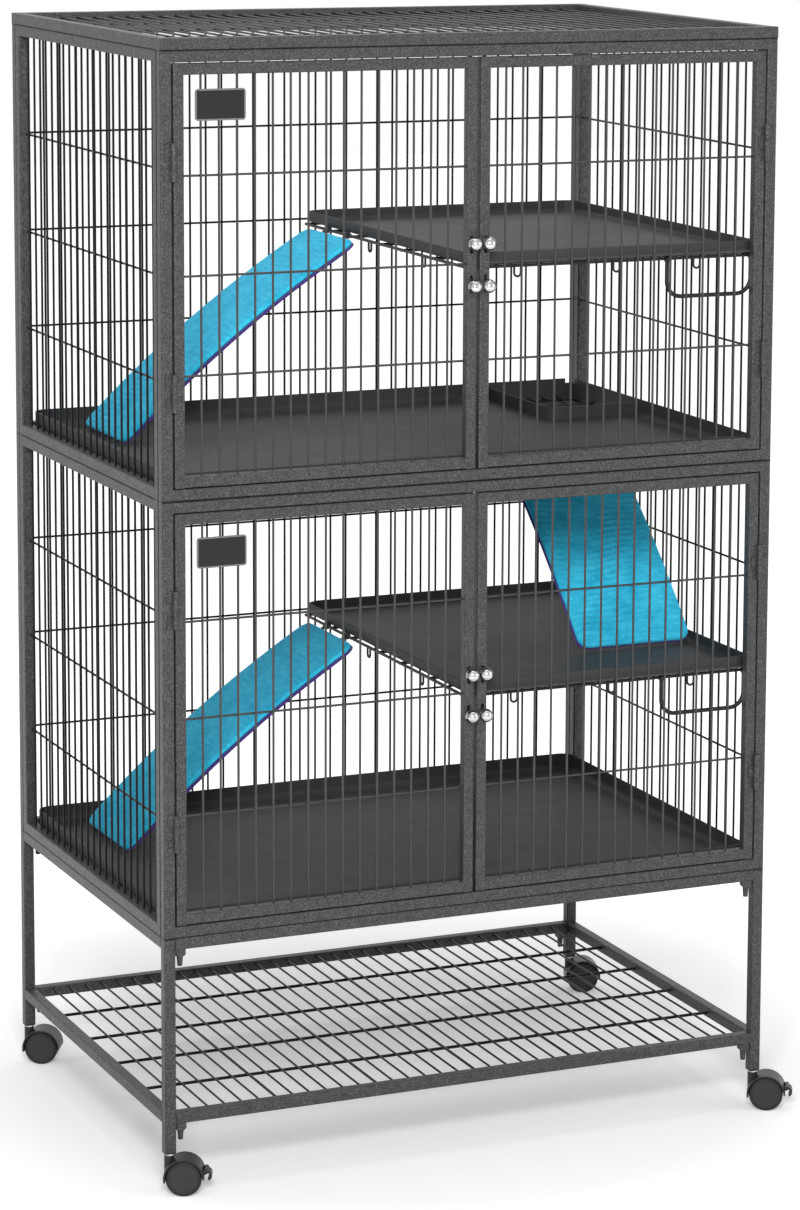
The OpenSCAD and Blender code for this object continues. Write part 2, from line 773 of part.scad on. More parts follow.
// A door: tube frame, grille and knuckles; its inner stile is bored for the two bolts
module door(side_x, z) {
    foot = z + tube + rail_gap;
    color(TUBE_PAINT) in_place() difference() {
        union() {
            translate([side_x * door_x, door_y, foot]) wire_panel(door_w, door_h, door_tube, door_pitch, BACK);
            for (h = [DOWN, UP])
                door_knuckle(side_x, z + mid_z + h * hinge_spread / 2);
        }
        translate([side_x * bolt_x, door_y, foot - 1])
            cylinder(d = bolt_d + 2 * running, h = door_h + 2);
        for (way = [DOWN, UP])
            translate([side_x * bolt_x, door_y, 0]) neck_slot(z + mid_z + way * knob_rise / 2, way);
        for (h = [DOWN, UP])
            translate([side_x * axis_x, axis_y, z + mid_z + h * hinge_spread / 2])
                cylinder(d = hinge_pin_d + 2 * running, h = hinge_h, center = true);
    }
}

module lower_left_door() { door(LEFT, lower_z); }
module lower_right_door() { door(RIGHT, lower_z); }
module upper_left_door() { door(LEFT, upper_z); }
module upper_right_door() { door(RIGHT, upper_z); }

// A blank plate in front of the left door's wires
module plate(z) {
    x = -inner_x + plate_x;
    color(PAN_BLACK) in_place() translate([x, door_y - (wire_d + pan_t) / 2, z + unit_h - plate_drop])
        cube([plate_w, pan_t, plate_h], center = true);
}

module lower_plate() { plate(lower_z); }
module upper_plate() { plate(upper_z); }

// A bolt in a door's stile with its knob; way is the direction in which it is thrown
module bolt(side_x, z, way) {
    knob_z = z + mid_z + way * knob_rise / 2;
    tip_z = z + mid_z + way * (open_h / 2 - clear);
    root_z = knob_z - way * neck_d;
    color(KNOB_CHROME) in_place() translate([side_x * bolt_x, door_y, 0]) {
        translate([0, 0, min(root_z, tip_z - way * tip_h)])
            cylinder(d = bolt_d, h = abs(tip_z - root_z) - tip_h);
        translate([0, 0, tip_z - way * tip_h]) rotate([way == UP ? 0 : 180, 0, 0])
            cylinder(d1 = bolt_d, d2 = bolt_d - 2, h = tip_h);
        translate([0, 0, knob_z]) rotate([90, 0, 0]) cylinder(d = neck_d, h = door_y - knob_y);
        translate([0, knob_y - door_y, knob_z]) sphere(d = knob_d, $fn = 48);
    }
}

module lower_left_top_bolt() { bolt(LEFT, lower_z, UP); }
module lower_left_bottom_bolt() { bolt(LEFT, lower_z, DOWN); }
module lower_right_top_bolt() { bolt(RIGHT, lower_z, UP); }
module lower_right_bottom_bolt() { bolt(RIGHT, lower_z, DOWN); }
module upper_left_top_bolt() { bolt(LEFT, upper_z, UP); }
module upper_left_bottom_bolt() { bolt(LEFT, upper_z, DOWN); }
module upper_right_top_bolt() { bolt(RIGHT, upper_z, UP); }
module upper_right_bottom_bolt() { bolt(RIGHT, upper_z, DOWN); }

// Radius of an arch over a chord
function arch_r(len) = (len * len / 4 + ramp_arch * ramp_arch) / (2 * ramp_arch);

// Half the angle that the arch spans
function arch_half(len) = asin(len / 2 / arch_r(len));

// A strip along the arch, over the hinge wire at the origin and the toe on +X, between heights v0 and v1 over the arch
module arch(len, w, v0, v1) {
    big = arch_r(len);
    half = arch_half(len) + 1;
    translate([len / 2, w / 2, ramp_arch - big]) rotate([90, 0, 0]) rotate([0, 0, 90 - half])
        rotate_extrude(angle = 2 * half, $fn = 720) translate([big + v0, 0]) square([v1 - v0, w]);
}

// A rectangle from x0 to x1 with rounded corners
module slab_outline(x0, x1, w, r) {
    translate([x0 + r, -w / 2]) square([x1 - x0 - 2 * r, w]);
    translate([x0, -w / 2 + r]) square([x1 - x0, w - 2 * r]);
    for (x = [x0 + r, x1 - r], y = [-w / 2 + r, w / 2 - r])
        translate([x, y]) circle(r);
}

// The strip with its corners rounded as seen from above, from start to its toe
module arched_slab(len, start, w, v0, v1, r) {
    intersection() {
        arch(len, w + 2, v0, v1);
        translate([0, 0, -len / 2]) linear_extrude(len) slab_outline(start, len, w, r);
    }
}

// Turns a ramp that points along +X from the origin down to its foot
module ramp_pose(len, drop) {
    rotate([0, asin((drop - ramp_foot) / len), 0]) children();
}

// The board with the arms and eyes that hook it on its wire, at the given places across its width
module ramp_board(len, start, hooks) {
    thin = board_t / 2 - 2 * slip;
    arm = start + 2 * ramp_round;
    intersection() {
        arch(len, ramp_w + 2, -board_t / 2, board_t / 2);
        translate([0, 0, -len / 2]) linear_extrude(len)
            slab_outline(start + fleece_side, len - fleece_side, ramp_w, ramp_round - fleece_side);
    }
    for (y = hooks)
        translate([0, y, 0]) difference() {
            union() {
                rotate([90, 0, 0]) cylinder(r = hook_r, h = hook_w, center = true);
                intersection() {
                    arch(len, 2 * hook_w, -thin, thin);
                    translate([bearer_d / 2, -hook_w / 2, -len / 2]) cube([arm - bearer_d / 2, hook_w, len]);
                }
            }
            rotate([90, 0, 0]) cylinder(d = bearer_d + 2 * running, h = hook_w + 1, center = true);
        }
}

// The fleece over the board and its edges, open towards the hooks
module ramp_fleece(len, start) {
    w = ramp_w + 2 * fleece_side;
    difference() {
        arched_slab(len, start, w, -board_t / 2 - slip, board_t / 2 + fleece_t, ramp_round);
        intersection() {
            arch(len, 2 * w, -ramp_arch, board_t / 2 + slip);
            translate([0, -ramp_w / 2 - slip, -len / 2]) cube([len - fleece_side + slip, ramp_w + 2 * slip, len]);
        }
    }
}

module ramp_lining(len, start) {
    w = ramp_w + 2 * fleece_side + 2 * lining_side;
    top = -board_t / 2 - 2 * slip;
    arched_slab(len, start - lining_side, w, top - lining_t, top, ramp_round);
}

// A side ramp hangs on the shelf's edge wire and points to the left
module side_ramp_place(z) {
    in_place() translate([frame_left, inner_y - ramp_y, z + shelf_wire_z]) rotate([0, 0, 180])
        ramp_pose(ramp_len, ramp_drop) children();
}

module lower_ramp_board() {
    color(WIRE_PAINT) side_ramp_place(lower_z) ramp_board(ramp_len, ramp_start, side_hooks);
}

module lower_ramp_fleece() {
    color(FLEECE_BLUE) side_ramp_place(lower_z) ramp_fleece(ramp_len, ramp_start);
}

module lower_ramp_lining() {
    color(LINING_PURPLE) side_ramp_place(lower_z) ramp_lining(ramp_len, ramp_start);
}

module upper_ramp_board() {
    color(WIRE_PAINT) side_ramp_place(upper_z) ramp_board(ramp_len, ramp_start, side_hooks);
}

module upper_ramp_fleece() {
    color(FLEECE_BLUE) side_ramp_place(upper_z) ramp_fleece(ramp_len, ramp_start);
}

module upper_ramp_lining() {
    color(LINING_PURPLE) side_ramp_place(upper_z) ramp_lining(ramp_len, ramp_start);
}

// The ramp between the storeys hangs on the upper floor's grid and points to the front
module link_ramp_place() {
    in_place() translate([inner_x - link_x, hatch_wire_y, lower_z + link_hinge_z]) rotate([0, 0, -90])
        ramp_pose(link_len, link_drop) children();
}

module link_ramp_board() {
    color(WIRE_PAINT) link_ramp_place() ramp_board(link_len, link_start, link_hooks);
}

module link_ramp_fleece() {
    color(FLEECE_BLUE) link_ramp_place() ramp_fleece(link_len, link_start);
}

module link_ramp_lining() {
    color(LINING_PURPLE) link_ramp_place() ramp_lining(link_len, link_start);
}

// Puts a caster's parts at the axle, with the swivel axis at x = -trail
module at_axle(side_x, side_y) {
    turn_left = side_y == FRONT ? turn_front_left : turn_back_left;
    turn_right = side_y == FRONT ? turn_front_right : turn_back_right;
    turn = side_x == LEFT ? turn_left : turn_right;
    in_place() translate([side_x * post_x, side_y * post_y, wheel_d / 2]) rotate([0, 0, -turn])
        translate([trail, 0, 0]) children();
}

// A cylinder along Y, centred
module disc(r, w) {
    rotate([90, 0, 0]) cylinder(r = r, h = w, center = true);
}

// The hood over both wheels with its middle web, the swivel housing, collar and pin
module caster(side_x, side_y, with_brake) {
    chamber_w = (hood_w - web_t) / 2 + 1;
    pin_x = -trail;
    housing_top = post_z - wheel_d / 2 - collar_h;
    color(CASTER_BLACK) at_axle(side_x, side_y) difference() {
        union() {
            difference() {
                union() {
                    disc(hood_r, hood_w);
                    translate([pin_x, 0, 0]) cylinder(d = housing_d, h = housing_top);
                }
                for (s = [-1, 1])
                    translate([0, s * (web_t + chamber_w) / 2, 0]) disc(wheel_d / 2 + hood_gap, chamber_w);
                rotate([0, -hood_tilt, 0]) translate([-wheel_d, -wheels_w, -wheel_d - hood_cut])
                    cube([2 * wheel_d, 2 * wheels_w, wheel_d]);
            }
            disc(boss_r, web_t);
            translate([pin_x, 0, housing_top - 1])
                cylinder(d = housing_d - 1, h = collar_h + 1 - clear);
            translate([pin_x, 0, housing_top]) cylinder(d = stem_d, h = collar_h + stem_h);
            if (with_brake)
                brake_lugs();
        }
        disc(axle_d / 2 + running, web_t + 1);
    }
}

// Two lugs at the back of the hood that hold the brake lever's pin
module brake_lugs() {
    for (s = [-1, 1])
        rotate([0, -pivot_angle, 0]) translate([pivot_out, s * (lever_w / 2 + clear + lug_w / 2), 0])
            rotate([90, 0, 0]) {
                cylinder(r = pivot_r, h = lug_w, center = true);
                translate([-lug_reach / 2, 0, 0]) cube([lug_reach, 2 * pivot_r, lug_w], center = true);
            }
    translate([pivot_x, 0, pivot_z]) disc(lever_pin_d / 2, lever_w + 2 * clear + lug_w);
}

module caster_front_left() { caster(LEFT, FRONT, true); }
module caster_front_right() { caster(RIGHT, FRONT, true); }
module caster_back_left() { caster(LEFT, BACK, false); }
module caster_back_right() { caster(RIGHT, BACK, false); }

// Two wheels pressed on one axle
module wheels(side_x, side_y) {
    r = wheel_d / 2;
    y0 = web_t / 2 + wheel_gap;
    y1 = wheels_w / 2;
    edge = 3;
    dish_r = r - 5;
    color(CASTER_BLACK) at_axle(side_x, side_y) {
        for (s = [0, 180])
            rotate([0, 0, s]) rotate([-90, 0, 0]) rotate_extrude($fn = 64) difference() {
                union() {
                    translate([0, y0]) square([r, y1 - y0 - edge]);
                    translate([0, y1 - edge]) square([r - edge, edge]);
                    translate([r - edge, y1 - edge]) intersection() {
                        circle(edge);
                        square(edge);
                    }
                }
                translate([axle_d, y1 - 1]) square([dish_r - axle_d, 2]);
            }
        disc(axle_d / 2, 2 * y0 + 2);
    }
}

module wheels_front_left() { wheels(LEFT, FRONT); }
module wheels_front_right() { wheels(RIGHT, FRONT); }
module wheels_back_left() { wheels(LEFT, BACK); }
module wheels_back_right() { wheels(RIGHT, BACK); }

// A curved pedal on a bored barrel
module brake_lever(side_x) {
    color(CASTER_BLACK) at_axle(side_x, FRONT) difference() {
        union() {
            translate([pivot_x, 0, pivot_z]) disc(pivot_r, lever_w - 1);
            translate([lever_x, lever_w / 2, lever_z]) rotate([90, 0, 0]) rotate([0, 0, lever_start])
                rotate_extrude(angle = lever_sweep) translate([lever_r - lever_t, 0]) square([lever_t, lever_w]);
        }
        translate([pivot_x, 0, pivot_z]) disc(lever_pin_d / 2 + running, lever_w + 1);
    }
}

module brake_lever_left() { brake_lever(LEFT); }
module brake_lever_right() { brake_lever(RIGHT); }

stand_post_front_left();
stand_post_front_right();
stand_post_back_left();
stand_post_back_right();
stand_rails();
stand_shelf();
rail_clips();
lower_front_frame();
lower_back_panel();
lower_left_panel();
lower_right_panel();
lower_floor_grid();
lower_floor_pan();
lower_shelf_frame();
lower_shelf_tray();
upper_front_frame();
upper_back_panel();
upper_left_panel();
upper_right_panel();
upper_floor_grid();
upper_floor_pan();
upper_shelf_frame();
upper_shelf_tray();
shelf_braces();
lid();
lower_hinges();
upper_hinges();
lower_left_door();
lower_right_door();
upper_left_door();
upper_right_door();
lower_plate();
upper_plate();
lower_left_top_bolt();
lower_left_bottom_bolt();
lower_right_top_bolt();
lower_right_bottom_bolt();
upper_left_top_bolt();
upper_left_bottom_bolt();
upper_right_top_bolt();
upper_right_bottom_bolt();
lower_ramp_board();
lower_ramp_fleece();
lower_ramp_lining();
upper_ramp_board();
upper_ramp_fleece();
upper_ramp_lining();
link_ramp_board();
link_ramp_fleece();
link_ramp_lining();
caster_front_left();
caster_front_right();
caster_back_left();
caster_back_right();
wheels_front_left();
wheels_front_right();
wheels_back_left();
wheels_back_right();
brake_lever_left();
brake_lever_right();
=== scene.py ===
"""Two-storey wire cage for small pets on a wheeled stand: finishes, soft covers and studio."""
import json
import math

import bmesh
import bpy
import numpy as np
from bpy.props import FloatProperty, FloatVectorProperty, PointerProperty
from mathutils import Matrix, Vector


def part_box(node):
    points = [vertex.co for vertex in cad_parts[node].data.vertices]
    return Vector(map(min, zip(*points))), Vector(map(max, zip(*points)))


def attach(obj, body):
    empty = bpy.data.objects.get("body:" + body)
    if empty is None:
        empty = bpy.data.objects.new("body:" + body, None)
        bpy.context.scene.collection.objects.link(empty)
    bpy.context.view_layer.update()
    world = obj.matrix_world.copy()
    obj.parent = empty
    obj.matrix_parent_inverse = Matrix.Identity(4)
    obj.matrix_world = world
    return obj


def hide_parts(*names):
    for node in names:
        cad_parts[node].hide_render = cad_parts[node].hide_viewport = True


bl_info = {
    "name": "Wire Cage Dressing",
    "version": (1, 0, 0),
    "blender": (4, 5, 0),
    "location": "View3D > Sidebar > Cage",
    "description": "Finishes, fleece covers and studio for a two-storey wire cage",
    "category": "Object",
}

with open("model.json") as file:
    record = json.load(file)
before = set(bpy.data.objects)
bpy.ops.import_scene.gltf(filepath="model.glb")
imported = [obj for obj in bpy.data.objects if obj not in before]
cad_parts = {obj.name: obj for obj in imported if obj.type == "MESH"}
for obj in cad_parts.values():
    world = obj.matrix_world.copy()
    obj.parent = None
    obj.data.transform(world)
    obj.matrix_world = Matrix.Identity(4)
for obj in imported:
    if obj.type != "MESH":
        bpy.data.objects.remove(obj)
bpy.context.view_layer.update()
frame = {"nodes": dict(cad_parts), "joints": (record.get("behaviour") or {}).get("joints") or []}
STOREYS = ("lower", "upper")
SIDES = ("left", "right")
CORNERS = ("front_left", "front_right", "back_left", "back_right")
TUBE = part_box("lid")[1].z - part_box("lid")[0].z
JOINTS = {joint["name"]: joint for joint in frame["joints"]}

DUST_TINT = (0.30, 0.29, 0.28)
# Painted shade along the joints between tubes: its colour, and the depths over which it fades in.
SEAM_SHADE_TINT = (0.004, 0.004, 0.004)
SEAM_SHADE_FADE = (0.0009, 0.0022)
WHITE = (1, 1, 1, 1)

SENSOR = 36.0
CAMERA_SHIFT = (-0.10, -0.18)
CAMERA_ANGLES = (-24.874, 8.518, 0.482)
CAMERA_PLACE = (-2.21383, -5.18002, 1.88665)
LAMPS_AIM = (0, 0, 0.8)
FLOOR_REACH = 14.0
FLOOR_FADE = (0.50, 1.35)

TO_LEFT = (-1, 0, 0)
TO_FRONT = (0, -1, 0)
# Height, radians per metre along and across a cover, and phase of each slow wave in its cloth
SLOW_WAVES = ((1.0, 61, 17, 0.0), (0.6, 143, -43, 1.1), (0.5, 37, 96, 2.0))


def colour(name, description, default):
    """A colour property."""
    return FloatVectorProperty(
        name=name, description=description, subtype="COLOR", size=3, min=0, max=1, default=default
    )


def length(name, description, default, low=0.0, high=1.0):
    """A length property in metres."""
    return FloatProperty(
        name=name, description=description, default=default, min=low, max=high, unit="LENGTH", precision=4
    )


def power(name, description, default):
    """A lamp's power."""
    return FloatProperty(name=name, description=description, default=default, min=0, max=2000, unit="POWER")


def share(name, description, default):
    """A share from none to all."""
    return FloatProperty(name=name, description=description, default=default, min=0, max=1, subtype="FACTOR")


class CageFinish(bpy.types.PropertyGroup):
    """Colours and grain sizes of the cage's finishes."""

    paint: colour("Frame paint", "Ground colour of the hammered frame paint", (0.036, 0.036, 0.037))
    paint_vein: colour("Paint veins", "Colour of the lighter veins in the frame paint", (0.108, 0.108, 0.110))
    # The wall, lid and floor wires are the same paint as the door wires; their near-black coat is painted
    # shade.
    wire: colour("Wire coat", "Colour of the wires in the walls, lid and floors", (0.007, 0.007, 0.0075))
    door_wire: colour("Door wires", "Colour of the wires in the doors", (0.052, 0.052, 0.053))
    pan: colour("Pan plastic", "Colour of the pans and trays", (0.027, 0.0265, 0.0265))
    fleece: colour("Fleece", "Colour of the ramp covers", (0.018, 0.61, 1.0))
    hem: colour("Hem", "Colour of the covers' lining and hem", (0.085, 0.035, 0.32))
    board: colour("Ramp board", "Colour of the boards under the covers", (0.035, 0.035, 0.037))
    caster: colour("Caster plastic", "Colour of the caster hoods", (0.016, 0.016, 0.017))
    wheel: colour("Wheel plastic", "Colour of the caster wheels", (0.024, 0.024, 0.026))
    collar: colour("Collar", "Colour of the collars over the casters", (0.75, 0.75, 0.76))
    plate: colour("Plate", "Colour of the blank plates", (0.006, 0.006, 0.0065))
    plate_rim: colour("Plate rim", "Colour of the plates' rims", (0.16, 0.16, 0.16))
    grain: length("Hammer grain", "Size of the hammered paint's grain", 0.0024, 0.001, 0.01)
    pebble: length("Pan grain", "Size of the pans' moulded grain", 0.0016, 0.0005, 0.01)
    pile: length("Fleece pile", "Size of the fleece's pile", 0.0012, 0.0005, 0.01)


class CageShape(bpy.types.PropertyGroup):
    """Sizes of the ramps' covers."""

    side_len: length("Side ramp", "Length of a side ramp from its wire to its toe", 0.458, 0.4, 0.5)
    side_start: length("Side cover start", "Distance of a side ramp's cover from its wire", 0.010, 0.0, 0.1)
    side_fall: length("Side ramp fall", "Height that a side ramp loses over its chord", 0.27975, 0.2, 0.4)
    link_len: length("Link ramp", "Length of the link ramp from its wire to its toe", 0.462, 0.4, 0.5)
    link_start: length("Link cover start", "Distance of the link cover from its wire", 0.042, 0.0, 0.1)
    link_fall: length("Link ramp fall", "Height that the link ramp loses over its chord", 0.30175, 0.2, 0.4)
    arch: length("Arch", "Rise of a ramp over its chord", 0.015, 0.0, 0.03)
    cover_half: length("Cover half width", "Half the width of a ramp's cover", 0.0905, 0.05, 0.12)
    cover_low: length("Cover foot", "Depth of a cover's foot under the board's middle", 0.0016, 0.0, 0.01)
    cover_high: length("Cover top", "Height of a cover's top over the board's middle", 0.0062, 0.002, 0.02)
    hem_out: length("Hem overhang", "Width by which the hem stands out of the cover", 0.001, 0.0, 0.005)
    hem_thick: length("Hem thickness", "Thickness of the lining and hem", 0.002, 0.0005, 0.005)
    hem_roll: length("Hem roll", "Depth by which the hem's long edges are rolled under", 0.002, 0.0, 0.005)
    corner: length("Cover corner", "Corner radius of the covers", 0.018, 0.005, 0.05)


class CageStage(bpy.types.PropertyGroup):
    """Lens and light."""

    focal: FloatProperty(
        name="Lens", description="Focal length of the camera", default=117.59, min=20, max=300, unit="CAMERA"
    )
    key: power("Key light", "Power of the key light", 215.0)
    fill: power("Fill light", "Power of the fill light", 30.0)
    top: power("Top light", "Power of the light over the cage", 45.0)
    sky: share("Surrounding light", "Strength of the even light from all round", 0.33)
    floor: share("Floor lift", "White added to the floor's shading under the cage", 0.25)
    far: share("Far floor lift", "White added to the floor's shading away from the cage", 0.80)


# ---------------------------------------------------------------- node helpers


class Nodes:
    """Short names for adding and linking shader nodes in one tree."""

    def __init__(self, tree):
        self.tree = tree

    def add(self, kind, **settings):
        """Adds a node. A setting named in<i> or after a socket sets that input, any other an attribute."""
        node = self.tree.nodes.new(kind)
        for key, value in settings.items():
            if hasattr(node, key):
                setattr(node, key, value)
            elif key.startswith("in") and key[2:].isdigit():
                self.feed(node.inputs[int(key[2:])], value)
            else:
                self.feed(node.inputs[key.replace("_", " ")], value)
        return node

    def feed(self, socket, value):
        """Links a socket to an output, or sets its value."""
        if isinstance(value, bpy.types.NodeSocket):
            self.tree.links.new(value, socket)
        elif isinstance(value, bpy.types.Node):
            self.tree.links.new(value.outputs[0], socket)
        else:
            socket.default_value = value

    def math(self, operation, a, b):
        """A Math node."""
        return self.add("ShaderNodeMath", operation=operation, in0=a, in1=b)

    def plus(self, a, b):
        """The sum of two values."""
        return self.math("ADD", a, b)

    def minus(self, a, b):
        """The difference of two values."""
        return self.math("SUBTRACT", a, b)

    def times(self, a, b):
        """The product of two values."""
        return self.math("MULTIPLY", a, b)

    def vector(self, operation, a, b):
        """A Vector Math node."""
        return self.add("ShaderNodeVectorMath", operation=operation, in0=a, in1=b)

    def size(self, a):
        """The length of a vector."""
        return self.add("ShaderNodeVectorMath", operation="LENGTH", in0=a).outputs["Value"]

    def split(self, a):
        """The X, Y and Z of a vector."""
        return self.add("ShaderNodeSeparateXYZ", in0=a).outputs

    def noise(self, place, scale, detail, roughness=0.5):
        """The value of a noise texture."""
        return self.add(
            "ShaderNodeTexNoise", Vector=place, Scale=scale, Detail=detail, Roughness=roughness
        ).outputs[0]

    def mix(self, part, a, b):
        """A colour between a and b."""
        node = self.tree.nodes.new("ShaderNodeMix")
        node.data_type = "RGBA"
        for index, value in ((0, part), (6, a), (7, b)):
            if isinstance(value, (tuple, list)) and len(value) == 3:
                value = (*value, 1.0)
            self.feed(node.inputs[index], value)
        return node.outputs[2]

    def ramp(self, value, low, high):
        """Maps low..high to 0..1, clamped."""
        node = self.add("ShaderNodeMapRange", clamp=True)
        for index, v in enumerate((value, low, high, 0.0, 1.0)):
            self.feed(node.inputs[index], v)
        return node.outputs[0]

    def object_coords(self):
        """The piece's own coordinates."""
        return self.add("ShaderNodeTexCoord").outputs["Object"]

    def attribute(self, name):
        """An attribute of the mesh."""
        return self.add("ShaderNodeAttribute", attribute_name=name, attribute_type="GEOMETRY").outputs


def new_group(name, vectors, numbers, outputs):
    """A shader node group with these sockets. Returns the group, its nodes, its inputs and its outputs."""
    tree = bpy.data.node_groups.new(name, "ShaderNodeTree")
    for label in vectors:
        tree.interface.new_socket(name=label, in_out="INPUT", socket_type="NodeSocketVector")
    for label in numbers:
        tree.interface.new_socket(name=label, in_out="INPUT", socket_type="NodeSocketFloat")
    for label in outputs:
        tree.interface.new_socket(name=label, in_out="OUTPUT", socket_type="NodeSocketFloat")
    given, out = tree.nodes.new("NodeGroupInput"), tree.nodes.new("NodeGroupOutput")
    return tree, Nodes(tree), given.outputs, out.inputs


def place_group(nodes, name, build, **values):
    """Places a shared group in a material, built the first time it is asked for. Returns its outputs."""
    node = nodes.tree.nodes.new("ShaderNodeGroup")
    node.node_tree = bpy.data.node_groups.get(name) or build(name)
    for label, value in values.items():
        nodes.feed(node.inputs[label], value)
    return node.outputs


def hammered(name):
    """Hammered paint: cells a grain wide give dimples, and two noises vary the veins between them."""
    tree, n, given, out = new_group(name, ["Place"], ["Grain"], ["Vein", "Height"])
    place = given["Place"]
    scale = n.math("DIVIDE", 1.0, given["Grain"])
    cells = n.add("ShaderNodeTexVoronoi", feature="F1", Vector=place, Scale=scale, Randomness=1.0)
    fine = n.noise(place, n.times(scale, 1.1), 3.0, 0.6)
    broad = n.noise(place, n.times(scale, 0.22), 2.0)
    rim = n.ramp(cells.outputs["Distance"], 0.25, 0.85)
    speck = n.ramp(fine, 0.44, 0.66)
    patch = n.ramp(broad, 0.3, 0.7)
    n.feed(out["Vein"], n.times(n.plus(n.times(rim, 0.35), speck), n.plus(n.times(patch, 0.45), 0.6)))
    n.feed(out["Height"], n.plus(rim, n.times(fine, 0.6)))
    return tree


def moulded(name):
    """Moulded plastic: a fine pebble, and a broad unevenness as a warped sheet has."""
    tree, n, given, out = new_group(name, ["Place"], ["Grain"], ["Shade", "Height"])
    pebble = n.noise(given["Place"], n.math("DIVIDE", 1.0, given["Grain"]), 2.0, 0.55)
    cloud = n.noise(given["Place"], 9.0, 3.0)
    n.feed(out["Shade"], n.plus(n.times(pebble, 0.6), n.times(cloud, 0.5)))
    n.feed(out["Height"], pebble)
    return tree


def settled_dust(name):
    """Dust on what faces up: the normal's upward part times a blotchy noise."""
    tree, n, given, out = new_group(name, ["Place"], ["Amount"], ["Dust"])
    normal = n.add("ShaderNodeNewGeometry").outputs["Normal"]
    up = n.ramp(n.split(normal)["Z"], 0.35, 0.95)
    spread = n.ramp(n.noise(given["Place"], 22.0, 5.0, 0.65), 0.35, 0.75)
    n.feed(out["Dust"], n.times(n.times(up, spread), given["Amount"]))
    return tree


def inside_box(name):
    """Depth is the least distance to the faces of the box from Low to High. Inside is 1 over zero depth."""
    tree, n, given, out = new_group(name, ["Place", "Low", "High"], [], ["Inside", "Depth"])
    over = n.vector("SUBTRACT", given["Place"], given["Low"])
    under = n.vector("SUBTRACT", given["High"], given["Place"])
    least = n.split(n.vector("MINIMUM", over, under))
    depth = n.math("MINIMUM", n.math("MINIMUM", least["X"], least["Y"]), least["Z"])
    n.feed(out["Inside"], n.math("GREATER_THAN", depth, 0.0))
    n.feed(out["Depth"], depth)
    return tree


def pile(name):
    """Brushed fleece: short fibres as a noise stretched along Y, over a felted one and broad tufts."""
    tree, n, given, out = new_group(name, ["Place"], ["Grain"], ["Tone", "Height"])
    scale = n.math("DIVIDE", 1.0, given["Grain"])
    combed = n.vector("MULTIPLY", given["Place"], (1.0, 0.28, 1.0))
    fibre = n.noise(combed, scale, 3.0, 0.65)
    felt = n.noise(combed, n.times(scale, 0.22), 3.0)
    tuft = n.noise(given["Place"], 26.0, 2.0)
    tone = n.plus(n.plus(n.times(fibre, 0.45), n.times(felt, 0.35)), n.times(tuft, 0.3))
    n.feed(out["Tone"], n.ramp(tone, 0.42, 0.68))
    n.feed(out["Height"], n.plus(fibre, n.times(felt, 1.4)))
    return tree


def new_material(name, tint):
    """An empty material, tinted for solid view. Returns it, its nodes and its Principled shader."""
    material = bpy.data.materials.new(name)
    material.use_nodes = True
    material.diffuse_color = (*tint, 1.0)
    return material, Nodes(material.node_tree), material.node_tree.nodes["Principled BSDF"]


def set_sockets(shader, **values):
    """Sets a shader's own sockets; an underscore stands for a space."""
    for label, value in values.items():
        shader.inputs[label.replace("_", " ")].default_value = value


def bumped(nodes, shader, height, depth, strength):
    """Feeds a height in shares of the depth to the shader's normal."""
    bump = nodes.add("ShaderNodeBump", Strength=strength, Distance=depth, Height=height)
    nodes.feed(shader.inputs["Normal"], bump)


def dusted(nodes, shader, place, base, amount):
    """Feeds the base colour to the shader under settled dust. Returns the dust's share."""
    dust = place_group(nodes, "Settled Dust", settled_dust, Place=place, Amount=amount)["Dust"]
    nodes.feed(shader.inputs["Base Color"], nodes.mix(dust, base, DUST_TINT))
    return dust


def dress(material, *names):
    """Gives CAD nodes their finish."""
    for name in names:
        slots = frame["nodes"][name].data.materials
        slots.clear()
        slots.append(material)


def stand_in(piece, node, body):
    """Lets a piece take a CAD node's place and on its body."""
    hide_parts(node)
    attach(piece, body)


# ---------------------------------------------------------------- finishes


def painted(name, finish, wires=None, joints=None, tint=None):
    """Hammered paint. Inside the wires box it is the thinner coat of the wires, in its own tint; the
    near-black wall wire tint is painted shade. Beside the faces of the joints box, where the tube meets its
    neighbour, it is dark with painted shade."""
    material, n, shader = new_material(name, finish.paint)
    place = n.object_coords()
    hammer = place_group(n, "Hammered Paint", hammered, Place=place, Grain=finish.grain)
    vein, height = hammer["Vein"], hammer["Height"]
    paint = n.mix(vein, tuple(finish.paint), tuple(finish.paint_vein))
    rough = n.plus(0.40, n.times(vein, -0.08))
    if wires is not None:
        inside = place_group(n, "Inside Box", inside_box, Place=place, Low=wires[0], High=wires[1])["Inside"]
        # Painted shade: unless a tint is given, the wires take the near-black wire coat.
        tint = tuple(tint or finish.wire)
        coat = n.mix(n.times(vein, 0.5), tint, tuple(c * 1.7 for c in tint))
        paint = n.mix(inside, paint, coat)
        height = n.times(height, n.minus(1.0, n.times(inside, 0.7)))
        rough = n.minus(rough, n.times(inside, 0.08))
    if joints is not None:
        # Painted shade: a dark line beside the faces where the tube meets its neighbour, as shade falls in the
        # groove there.
        depth = place_group(n, "Inside Box", inside_box, Place=place, Low=joints[0], High=joints[1])["Depth"]
        seam = n.minus(1.0, n.ramp(depth, *SEAM_SHADE_FADE))
        paint = n.mix(n.times(seam, 0.85), paint, SEAM_SHADE_TINT)
    dust = dusted(n, shader, place, paint, 0.16)
    n.feed(shader.inputs["Roughness"], n.plus(rough, n.times(dust, 0.5)))
    set_sockets(shader, Metallic=0.35, Specular_IOR_Level=0.15)
    bumped(n, shader, height, depth=0.00035, strength=0.8)
    return material


